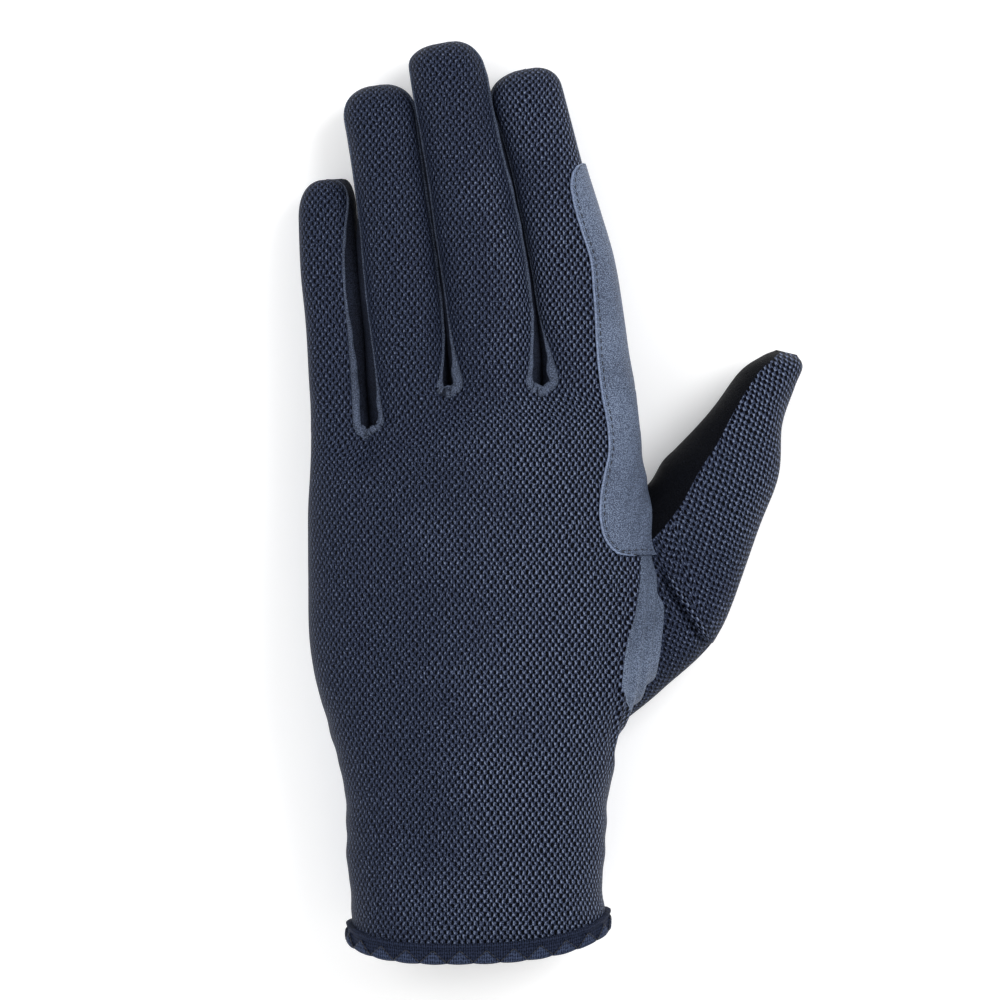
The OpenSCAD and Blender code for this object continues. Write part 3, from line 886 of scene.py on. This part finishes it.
def panels():
    """Surface, normals and weave coordinates of every panel, with the columns joined over the hand."""
    made = {}
    for kind, source in (("top", TOPS), ("under", UNDERS)):
        outward = OUTWARD[kind]
        hand = np.concatenate([source[0][0][:HAND_ROWS + 1]]
                              + [source[i][0][:HAND_ROWS + 1, 1:] for i in (1, 2, 3)], axis=1)
        hand_uv = weave_coordinates(hand)
        hand_normals = grid_normals(hand, outward)
        hand_done = hand + hand_normals * relief(hand)[..., None]
        made[kind, "hand"] = (hand_done, grid_normals(hand_done, outward), hand_uv)
        start = 0
        for i, s in enumerate(S_MID):
            grid = source[i][0]
            columns = slice(start, start + grid.shape[1])
            start += grid.shape[1] - 1
            normals = grid_normals(grid, outward)
            normals[:HAND_ROWS + 1] = hand_normals[:, columns]
            # The relief dies out at the fingertip, where all four panels meet in one point.
            calm = np.ones(len(grid))
            calm[HAND_ROWS:] = 1 - smoothstep(s, s[-1] - 7, s[-1] - 1)
            done = grid + normals * (relief(grid) * calm[:, None])[..., None]
            # At the web the finger's own coordinates run on from the hand's.
            uv = weave_coordinates(grid)
            difference = hand_uv[HAND_ROWS, columns] - uv[HAND_ROWS]
            fade = (1 - smoothstep(s, s[0], s[0] + 30))[:, None, None]
            uv[HAND_ROWS:] += mix(difference.mean(axis=0), difference, fade)
            made[kind, i] = (done, grid_normals(done, outward), uv)
    for i in range(4):
        for way, end in ((-1, 0), (1, -1)):
            if (i, way) in ((0, -1), (INDEX, 1)):
                continue
            grid = side_strip(i, way)
            grid[:, 0] = made["top", i][0][HAND_ROWS:, end]
            grid[:, -1] = made["under", i][0][HAND_ROWS:, end]
            made["side", i, way] = (grid, grid_normals(grid, (way, 0, 0)), np.zeros(grid.shape[:2] + (2,)))
    return made


PANELS = panels()


# ---------------- cuts of the fingers, and how pieces ride on the hand

def cut_rows(i):
    """Rows of a finger where its three pieces begin and end, half way between the hinges."""
    cuts = [(HINGES[k] + HINGES[k + 1]) / 2 * FINGERS[NAMES[i]]["length"] for k in (0, 1)]
    return (0, *[int(np.argmin(np.abs(S_MID[i] - cut))) for cut in cuts], FINGER_ROWS)


def bend(obj):
    """Bakes a finger piece's transform into its mesh."""
    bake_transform(obj)


def follow(obj, part):
    """Makes a piece ride on the hand when part is None, and otherwise bakes its transform into its mesh."""
    if part is None:
        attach(obj, "hand")
    else:
        bend(obj)


def stands_for(obj, slot, *nodes):
    """Hides the CAD nodes that a piece stands for; the piece and its slot are not used."""
    if nodes:
        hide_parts(*nodes)


# Which panel, and on which side of a finger, with its names in the piece and in the CAD node.
STRIPS = (
    (("top",), "back", "back", MESH, "mesh"),
    (("under",), "front", "front", LEATHER, "palm_leather"),
    # The fourchettes take the darker copy of the leather, painted shade of the gaps between the fingers.
    (("side", -1), "outer_fourchette", "sides", SHADED_SIDE_LEATHER, "palm_leather"),
    (("side", 1), "inner_fourchette", "sides", SHADED_SIDE_LEATHER, "palm_leather"),
)


def cloth_pieces():
    """The two panels of the hand, and the back, front and sides of each finger in three parts."""
    for kind, name, material, slot in (
        ("top", "back_panel", MESH, "mesh"), ("under", "palm_panel", LEATHER, "palm_leather"),
    ):
        grid, normals, uv = PANELS[kind, "hand"]
        obj = sheet_mesh(f"{name}_cloth", grid, normals, FABRIC_T, material, uv)
        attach(obj, "hand")
        stands_for(obj, slot, name)
    for i, name in enumerate(NAMES):
        rows = cut_rows(i)
        # The cloth thins to nothing in the one point of the fingertip.
        thin = FABRIC_T * (1 - 0.97 * smoothstep(S_MID[i], S_MID[i][-1] - 2.5, S_MID[i][-1]))[:, None, None]
        for part, label in enumerate(PARTS):
            here = slice(rows[part], rows[part + 1] + 1)
            for (kind, *way), word, node_word, material, slot in STRIPS:
                if (kind, i, *way) not in PANELS:
                    continue
                grid, normals, uv = [m[-FINGER_ROWS - 1:][here] for m in PANELS[kind, i, *way]]
                obj = sheet_mesh(f"{name}_{word}_{label}", grid, normals, thin[here], material, uv)
                bend(obj)
                stands_for(obj, slot, f"{name}_{SEGMENTS[part]}_{node_word}")


# ---------------- seams

def seam_path(i, way, edge):
    """Line of a finger's seam, the way out of it, and each row's distance from the web."""
    side_grid, side_normals, _ = PANELS["side", i, way]
    panel_normals = PANELS["top" if edge == 0 else "under", i][1][HAND_ROWS:, -1 if way > 0 else 0]
    return side_grid[:, edge], unit(side_normals[:, edge] + panel_normals), S_MID[i] - S_MID[i][0]


def seam_cords():
    """Rolled leather edges along the fingers' seams, thick at the webs and thin beyond them."""
    for i, name in enumerate(NAMES):
        rows = cut_rows(i)
        _, side = finger_direction(FINGERS[name])
        for part, label in enumerate(PARTS):
            here = slice(rows[part], rows[part + 1] + 1)
            rolls = []
            for way, edge in ((-1, 0), (-1, -1), (1, 0), (1, -1)):
                if ("side", i, way) not in PANELS:
                    continue
                line, outward, run = seam_path(i, way, edge)
                # A roll is thickest at the web, uneven along its length and thin at the fingertip.
                least, more, start, end = ROLLS[i, way] if edge == 0 else FRONT_ROLL
                thick = least + more * (1 - smoothstep(run, start, end))
                thick *= 1 + 0.16 * waves(line, 31 + i, 4.5)
                thick *= 1 - 0.75 * smoothstep(run, run[-1] - 5, run[-1])
                path = line + outward * (0.12 * thick[:, None])
                path[:, :2] += side * way * (0.7 * np.maximum(thick - 0.36, 0))[:, None]
                rolls.append(tube(path[here], thick[here], outward[here], sides=10))
            obj = mesh_object(f"{name}_seam_rolls_{label}", *joined(rolls), [SEAM_ROLL])
            bend(obj)
            stands_for(obj, "palm_leather")


def web_rolls():
    """The gathered roll of leather round the bottom of each web, which runs up the seams beside it."""
    sides, step, reach, softening_rounds = 14, 0.12, 5.5, 12
    for b in (1, 2, 3):
        left_line, left_out, run_left = seam_path(b - 1, 1, 0)
        right_line, right_out, run_right = seam_path(b, -1, 0)
        reach_left, reach_right = (int(np.searchsorted(r, reach)) for r in (run_left, run_right))
        path = np.concatenate([left_line[reach_left:0:-1], right_line[:reach_right]])
        up = unit(np.concatenate([left_out[reach_left:0:-1], right_out[:reach_right]]) * [0.5, 0.5, 1.0])
        run = run_along(path)
        at = np.linspace(0, run[-1], int(round(run[-1] / step)) + 1)
        line = read_at(at, run, path)
        rise = read_at(at, np.linspace(0, at[-1], len(up)), up)
        for _ in range(softening_rounds):
            line[1:-1] = (line[:-2] + line[1:-1] * 2 + line[2:]) / 4
        inward = np.array([*CROTCH[b], 0.0]) + [0, WEB_RISE + 1, 0] - line
        inward[:, 2] = 0
        inward = unit(inward)
        # The roll is thick and pleated at the bottom of the web, where a seam closes it.
        middle = 1 - np.abs(2 * at / at[-1] - 1)
        bottom = smoothstep(middle, 0.3, 0.9)
        turns = 2 * np.pi * (at + 0.5 * np.sin(at * 1.3 + b) + 0.2 * np.sin(at * 3.1))
        long_pleats, short_pleats = [np.cos(turns / length) for length in PLEATS]
        seam = -0.3 * np.exp(-(((at - at[-1] / 2) / 0.22) ** 2))
        thick = mix(0.6, 1.5, smoothstep(middle, 0.0, 0.85))
        thick *= 1 + (0.24 * long_pleats + 0.08 * short_pleats) * bottom + seam
        line = line + inward * (0.6 * thick - 0.2)[:, None] - rise * (0.35 * thick - 0.1)[:, None]
        # The faces in the deepest pleats and at the closing seam take the darker side leather: painted shade
        # in the creases.
        painted_crease_shade = (bottom > 0.2) & ((long_pleats < -0.78) | (np.abs(at - at[-1] / 2) < 0.15))
        slots = np.append(np.repeat(painted_crease_shade[:-1], sides), [False, False]).astype(int)
        name = f"web_{NAMES[b - 1]}_{NAMES[b]}_roll"
        verts, faces = tube(line, thick, rise, sides, flat=0.8)
        obj = mesh_object(name, verts, faces, [SEAM_ROLL, SHADED_SIDE_LEATHER], slots=slots)
        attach(obj, "hand")
        stands_for(obj, "palm_leather", "fourchette_crotches")


# ---------------- thumb

FOLD_LENGTH = np.linalg.norm(THUMB_FOLD[1] - THUMB_FOLD[0])
FOLD_WAY = unit(THUMB_FOLD[1] - THUMB_FOLD[0])
FOLD_SIDE = np.array([-FOLD_WAY[1], FOLD_WAY[0]])


def thumb_ribs(r):
    """Left edge, right edge, height and half thickness of the thumb at rib r."""
    columns = np.array([[*left, *right, z, h] for left, right, z, h in THUMB]).T
    return [through(np.stack([np.arange(len(THUMB)), v], 1), r) for v in columns]


def thumb_grid(first, last, r):
    """The thumb's fabric between two angles around it, and its normals."""
    lx, ly, rx, ry, z, h = thumb_ribs(r)
    h = h * round_off(r, LAST_RIB, 1.5, 2.2)
    cx, cz = section(np.linspace(first, last, THUMB_COLUMNS + 1)[None, :], THUMB_POWER)
    mid = np.stack([(lx + rx) / 2, (ly + ry) / 2], -1)
    half = np.stack([(rx - lx) / 2, (ry - ly) / 2], -1)
    flat = half[:, None, :] * cx[..., None]
    rise = h[:, None] * cz
    grid = np.concatenate([mid[:, None, :] + flat, (z[:, None] + rise)[..., None]], -1)
    out = np.concatenate([flat, rise[..., None]], -1)
    calm = 1 - smoothstep(r, LAST_RIB - 0.6, LAST_RIB)[:, None]
    # A slanting ridge with a groove beside it crosses the base of the thumb.
    off = (grid[..., :2] - THUMB_FOLD[0]) @ FOLD_SIDE
    run = (grid[..., :2] - THUMB_FOLD[0]) @ FOLD_WAY
    shape = 0.4 * np.exp(-(((off - 0.8) / 1.2) ** 2)) - 2.2 * np.exp(-(((off + 1.0) / 0.9) ** 2))
    fold = shape * smoothstep(run, -4, 2) * (1 - smoothstep(run, FOLD_LENGTH - 2, FOLD_LENGTH + 3)) * (cz > 0)
    grid = grid + grid_normals(grid, out) * ((fold + 0.25 * waves(grid, 21, 18)) * calm)[..., None]
    grid[..., 2] = np.maximum(grid[..., 2], 0.3)
    return grid, grid_normals(grid, out)


def thumb_ridge(grid, normals):
    """The pinched fold of mesh that stands beside the groove."""
    sides = 16
    u = np.linspace(0, 1, 40)
    plan = THUMB_FOLD[0] + (THUMB_FOLD[1] - THUMB_FOLD[0]) * u[:, None] + FOLD_SIDE * 0.5
    facing_up = normals[..., 2] > 0.1
    points, ways = grid[facing_up], normals[facing_up]
    near = [int(np.argmin(np.linalg.norm(points[:, :2] - p, axis=1))) for p in plan]
    evenly = np.ones(7) / 7
    height = smoothed(points[near, 2], evenly)
    up = np.stack([smoothed(ways[near, k], evenly) for k in range(3)], 1)
    path = np.concatenate([plan, height[:, None]], 1) + up * 0.15
    radius = 0.85 * np.sqrt(np.clip(np.minimum(u, 1 - u) * 5, 0.02, 1))
    around = np.abs(np.linspace(-1, 1, sides, endpoint=False)) * np.pi * 0.85
    uv = np.stack([np.tile(around, len(plan)), np.repeat(u * FOLD_LENGTH, sides)], -1)
    return mesh_object("thumb_base_pinched_fold", *tube(path, radius, up, sides, flat=0.8), [MESH], uv)


def thumb_pieces():
    """The back and front of the thumb in two parts each, and the fold across its base."""
    r = LAST_RIB * (1 - (1 - np.linspace(0, 1, THUMB_ROWS + 1)) ** 1.12)
    cut = int(np.argmin(np.abs(r - THUMB_CUT)))
    lx, ly, rx, ry, z, _ = [v[0] for v in thumb_ribs(np.array([float(LAST_RIB)]))]
    base_hinge, tip_hinge = JOINT["thumb_base_joint"], JOINT["thumb_tip_joint"]
    tip_way = unit(np.array([(lx + rx) / 2, (ly + ry) / 2, z]) + OFFSET - tip_hinge)
    # Each part's rows and bodies, and where its blend begins and ends.
    parts = {
        "base": (slice(0, cut + 1), ("hand", "thumb_base"),
                 [tuple((base_hinge + THUMB_WAY * d) * MM) for d in THUMB_BASE_BEND]),
        "tip": (slice(cut, len(r)), ("thumb_base", "thumb_tip"),
                [tuple((tip_hinge + tip_way * d) * MM) for d in THUMB_TIP_BEND]),
    }
    # The thumb's front takes the darkest copy of the palm leather, painted shade on the side that turns from
    # the light.
    for word, k, material, slot in (("back", 0, MESH, "mesh"), ("front", 1, SHADED_THUMB_LEATHER, "palm_leather")):
        grid, normals = thumb_grid(THUMB_SEAMS[k], THUMB_SEAMS[k + 1], r)
        uv = weave_coordinates(grid, THUMB_LEAN) - [THUMB_WEAVE_SHIFT, 0]
        for label, (here, bodies, (start, stop)) in parts.items():
            piece = (grid[here], normals[here], FABRIC_T, material, uv[here])
            obj = sheet_mesh(f"thumb_{word}_{label}_cloth", *piece)
            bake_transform(obj)
            stands_for(obj, slot, f"thumb_{label}_{word}")
        if word == "back":
            obj = thumb_ridge(grid, normals)
            _, bodies, (start, stop) = parts["base"]
            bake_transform(obj)
            stands_for(obj, slot)


# ---------------- leather overlay along the index finger

def radial_wrap(n):
    """The index column of the back and of the front as one grid around the thumb side of the hand."""
    return np.concatenate([PANELS["top", INDEX][n], PANELS["under", INDEX][n][:, ::-1][:, 1:]], 1)


def edge_column(grid, r):
    """Column of the wrap at which the overlay's edge crosses row r."""
    cols = np.linspace(2, TOP_COLUMNS, 240)
    p = sample(grid, np.full_like(cols, r), cols)
    hits = np.nonzero(p[:, 0] >= through(OVERLAY_EDGE, p[:, 1]))[0]
    return cols[hits[0]] if len(hits) else float(TOP_COLUMNS)


def overlay():
    """The reinforcement in four pieces, each with its topstitching and its cut edge."""
    grid, normals = radial_wrap(0), radial_wrap(1)
    line = grid[:HAND_ROWS + FINGER_ROWS - 4, TOP_COLUMNS - 3, 1]
    first, last = [float(v) for v in np.interp(OVERLAY_ENDS, line, np.arange(len(line)))]
    cuts = [first] + [float(HAND_ROWS + row) for row in cut_rows(INDEX)[:3]] + [last]
    u = np.linspace(0, 1, OVERLAY_COLUMNS + 1)
    for k, (part, name, nodes) in enumerate((
        (None, "hand", ["index_overlay_hand"]), (0, "root", ["index_overlay_proximal"]),
        (1, "middle", ["index_overlay_middle"]), (2, "tip", []),
    )):
        r = np.linspace(cuts[k], cuts[k + 1], max(4, int((cuts[k + 1] - cuts[k]) * 2)) + 1)
        left = np.array([edge_column(grid, v) for v in r])
        if part in (0, 1):
            left = smoothed(left, [0.1, 0.2, 0.4, 0.2, 0.1])
        c = mix(left[:, None], TOP_COLUMNS + OVERLAY_REACH, u[None, :] ** 1.15)
        rr = np.repeat(r[:, None], len(u), 1)
        surface = sample(grid, rr, c)
        out = unit(sample(normals, rr, c))
        # The leather lies down at its cut edge. Lengthwise creases on the hand fade at that edge and towards
        # the finger.
        edge_fall = 0.35 * np.exp(-((u / 0.03) ** 2))[None, :, None]
        creases = 0.22 * np.cos(2 * np.pi * (surface[..., 0] - 0.25 * surface[..., 1]) / 3.6 + 2)
        creases *= smoothstep(-surface[..., 1], -24, 0) * smoothstep(u * 12, 1.5, 4)[None, :]
        shape = surface + out * (PATCH_T + 0.1 - edge_fall + creases[..., None])
        obj = sheet_mesh(f"index_overlay_{name}_leather", shape, out, PATCH_T, OVERLAY)
        follow(obj, part)
        stands_for(obj, "overlay_leather", *nodes)
        # Topstitching just inside the edge, and along the wrist end.
        rows = np.arange(len(r), dtype=float)
        at = np.array([np.interp(STITCH_INSET, run_along(row), np.arange(len(row))) for row in shape])
        stitches = stitch_row(sample(shape, rows, at), sample(out, rows, at))
        if part is None:
            place = (np.full(60, 2.4), np.linspace(1, 14, 60))
            stitches += stitch_row(sample(shape, *place), sample(out, *place))
        obj = mesh_object(f"index_overlay_{name}_stitches", *joined(stitches), [THREAD])
        follow(obj, part)
        # A pale cord along the cut edge of the leather is a painted highlight, where the edge catches the
        # light.
        highlight_cord = tube(shape[:, 0] - out[:, 0] * 0.05, 0.3, out[:, 0], sides=8)
        obj = mesh_object(f"index_overlay_{name}_edge", *highlight_cord, [EDGE_HIGHLIGHT])
        follow(obj, part)


# ---------------- cuff

def cuff_frame():
    """Places round the cuff: distance run, point on the fabric, way out, and the whole way round."""
    fine = np.linspace(0, 360, 2000, endpoint=False)
    p = hand_point(np.full_like(fine, CUFF_Y), fine)
    p[:, 1] = hem(fine)
    loop = np.concatenate([p, p[:1]])
    run = run_along(loop)
    at = np.linspace(0, run[-1], CUFF_COLUMNS, endpoint=False)
    point = read_at(at, run, loop)
    way = np.roll(point, -1, axis=0) - np.roll(point, 1, axis=0)
    out = unit(np.stack([way[:, 2], 0 * at, -way[:, 0]], 1))
    if np.sum(out * (point - point.mean(0))) < 0:
        out = -out
    return at, point, out, run[-1]


def triangle(at, down, pitch):
    """1 inside the row of sewn-down triangles and 0 outside."""
    from_middle = np.abs((at / pitch) % 1 - 0.5) * pitch
    half = (pitch / 2 - 0.25) * np.clip((down - ZIGZAG_TOP) / (ZIGZAG_BOTTOM - ZIGZAG_TOP), 0, 1.1)
    return smoothstep(half - from_middle, -0.25, 0.35)


def cuff():
    """The binding tape, scalloped by its zigzag seam, and the stitches of that seam."""
    at, point, out, total = cuff_frame()
    turns = round(total / ZIGZAG_PITCH)
    pitch = total / turns
    scallop = np.abs(np.sin(np.pi * at / pitch)) ** 0.6
    verts, faces, slots = [], [], []
    rows = len(BINDING_SECTION)
    # The tape stands out and hangs lower in the triangles, and is drawn in between them.
    for r, (outward, down) in enumerate(BINDING_SECTION):
        raised = triangle(at, down, pitch)
        front = smoothstep(np.array(outward), 0.2, 0.7) * smoothstep(np.array(down), 0.5, 1.2)
        wobble = 0.08 * np.sin(at * 0.9 + down) * np.cos(at * 0.37)
        ring = point + out * (outward + (raised * 0.7 - 0.3) * front + wobble)[:, None]
        ring[:, 1] -= down + max(0.0, down - 2.0) * 0.14 * scallop
        ring[:, 2] = np.maximum(ring[:, 2], 0.05)
        verts.append(ring)
        # Faces inside the raised triangles take the lighter tape: painted light on them.
        slots += ((raised > 0.5) & (0.3 < down < 3.8 and outward > 0.5)).astype(int).tolist()
        below = (r + 1) % rows * CUFF_COLUMNS
        for c in range(CUFF_COLUMNS):
            d = (c + 1) % CUFF_COLUMNS
            faces.append((r * CUFF_COLUMNS + c, r * CUFF_COLUMNS + d, below + d, below + c))
    uv = np.stack([np.tile(at, rows), np.repeat([d for _, d in BINDING_SECTION], CUFF_COLUMNS)], -1)
    tape = (np.concatenate(verts), faces, [BINDING, LIT_BINDING], uv)
    obj = mesh_object("cuff_binding_tape", *tape, slots=slots)
    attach(obj, "hand")
    stands_for(obj, "cuff_binding", "cuff_binding")
    # Three stitches lie along each edge of a triangle; their dark thread is partly painted shade of the
    # groove there.
    stitches = []
    proud, radius = 0.98, 0.15
    arch = np.array([-0.1, 0.05, 0.1, 0.1, 0.05, -0.1])
    for k in range(turns):
        for way in (-1, 1):
            for m in range(3):
                u = np.linspace(m + 0.06, m + 0.94, 6) / 3
                run = ((k + 0.5) * pitch + way * u * (pitch / 2 - 0.15)) % total
                place = run / total * CUFF_COLUMNS
                j = place.astype(int)
                p, o = [mix(v[j % CUFF_COLUMNS], v[(j + 1) % CUFF_COLUMNS], (place - j)[:, None])
                        for v in (point, out)]
                p = p + o * (proud + arch)[:, None]
                p[:, 1] -= mix(ZIGZAG_TOP, ZIGZAG_BOTTOM, u) * 1.06
                p[:, 2] = np.maximum(p[:, 2], 0.12)
                stitches.append(tube(p, radius, o))
    obj = mesh_object("cuff_binding_zigzag", *joined(stitches), [SHADED_BINDING_THREAD])
    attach(obj, "hand")


# ---------------- inside the wrist and on the palm

def inside_pieces():
    """The elastic strip and the blank label inside the palm side of the wrist."""
    wrist_middle = [-18.0, 0, 21.0]
    for name, angles, ends, material, slot in (
        ("wrist_elastic_strip", (207, 333), (-66, -54), ELASTIC, "wrist_elastic"),
        ("care_label_tab", (230, 250), (-93, -79), LABEL, "care_label"),
    ):
        y, a = np.meshgrid(np.linspace(*ends, 14), np.linspace(*angles, 60), indexing="ij")
        grid = hand_point(y, a)
        normals = grid_normals(grid, (grid - wrist_middle) * [1, 0, 1])
        grid = grid - normals * (FABRIC_T + STRIP_T + 0.15 * np.cos(y * 2.4)[..., None])
        obj = sheet_mesh(name, grid, normals, STRIP_T, material, grid[..., :2])
        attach(obj, "hand")
        stands_for(obj, slot, slot)


def rein_patches():
    """Reinforcements on the palm and on the fronts of the little and ring fingers."""
    # The palm's patch lies across the hand, where y is -6 to 8.
    line = PANELS["under", "hand"][0][:, 40, 1]
    add_patch("palm", "hand", np.interp((-6, 8), line, np.arange(len(line))), (14, 36), 26, None)
    for i, name in ((0, "little"), (1, "ring")):
        add_patch(name, i, (HAND_ROWS + 5, HAND_ROWS + cut_rows(i)[1]), (4, TOP_COLUMNS - 4), 20, 0)


def add_patch(name, i, row_span, column_span, columns, part):
    """A patch over some rows and columns of a panel, and the row of stitches just inside its edge."""
    grid, normals, _ = PANELS["under", i]
    r, c = np.meshgrid(np.linspace(*row_span, PATCH_ROWS), np.linspace(*column_span, columns), indexing="ij")
    out = sample(normals, r, c)
    surface = sample(grid, r, c) + out * (PATCH_T + 0.05)
    patch = sheet_mesh(f"rein_patch_{name}_leather", surface, out, PATCH_T, OVERLAY)
    stands_for(patch, "overlay_leather", f"rein_patch_{name}")
    inset = 2
    far, right = PATCH_ROWS - 1 - inset, columns - 1 - inset
    turn = [(inset, inset), (inset, right), (far, right), (far, inset), (inset, inset)]
    stitches = []
    for (r0, c0), (r1, c1) in zip(turn, turn[1:]):
        count = (columns if r0 == r1 else PATCH_ROWS) - 2 * inset
        line = (np.linspace(r0, r1, count).astype(int), np.linspace(c0, c1, count).astype(int))
        stitches += stitch_row(surface[line] + out[line] * 0.05, out[line])
    seam = mesh_object(f"rein_patch_{name}_topstitch", *joined(stitches), [THREAD])
    for obj in (patch, seam):
        follow(obj, part)


# ---------------- camera, light and floor

VIEW_CENTRE = Vector((-0.0124, 0.0017, 0))
# The view is this wide at this height above the floor.
VIEW_WIDTH = 0.24
VIEW_HEIGHT = 0.016
FLOOR_HALF = 3.0


def studio():
    scene = bpy.context.scene
    data = bpy.data.cameras.new("camera")
    data.lens = 250
    data.clip_start, data.clip_end = 0.1, 20
    camera = bpy.data.objects.new("camera", data)
    camera.location = VIEW_CENTRE + Vector((0, 0, VIEW_WIDTH * data.lens / data.sensor_width + VIEW_HEIGHT))
    scene.collection.objects.link(camera)
    scene.camera = camera

    mesh = bpy.data.meshes.new("floor")
    corners = [(x * FLOOR_HALF, y * FLOOR_HALF, 0) for x, y in ((-1, -1), (1, -1), (1, 1), (-1, 1))]
    mesh.from_pydata(corners, [], [(0, 1, 2, 3)])
    paper = Fabric("floor_paper")
    paper.fill(paper.shader, {"Base Color": (0.94, 0.94, 0.94, 1), "Roughness": 0.9,
                              "Emission Color": (1, 1, 1, 1), "Emission Strength": 0.2})
    mesh.materials.append(paper.material)
    floor = bpy.data.objects.new("floor", mesh)
    scene.collection.objects.link(floor)

    for name, location, size, power in (
        ("key", (0.8, 0.5, 1.0), 0.8, 12), ("fill", (-0.95, 0.2, 0.9), 1.0, 7),
        ("front", (-0.1, -1.2, 0.7), 0.9, 4),
    ):
        data = bpy.data.lights.new(name, "AREA")
        data.energy = power
        data.size = size
        light = bpy.data.objects.new(name, data)
        light.location = location
        light.rotation_euler = (-Vector(location)).to_track_quat("-Z", "Y").to_euler()
        scene.collection.objects.link(light)
    scene.world = bpy.data.worlds.new("studio")
    scene.world.use_nodes = True
    background = scene.world.node_tree.nodes["Background"]
    background.inputs["Color"].default_value = (1, 1, 1, 1)
    background.inputs["Strength"].default_value = 0.6
    scene.view_settings.view_transform = "Standard"


studio()
cloth_pieces()
seam_cords()
web_rolls()
thumb_pieces()
overlay()
cuff()
inside_pieces()
rein_patches()
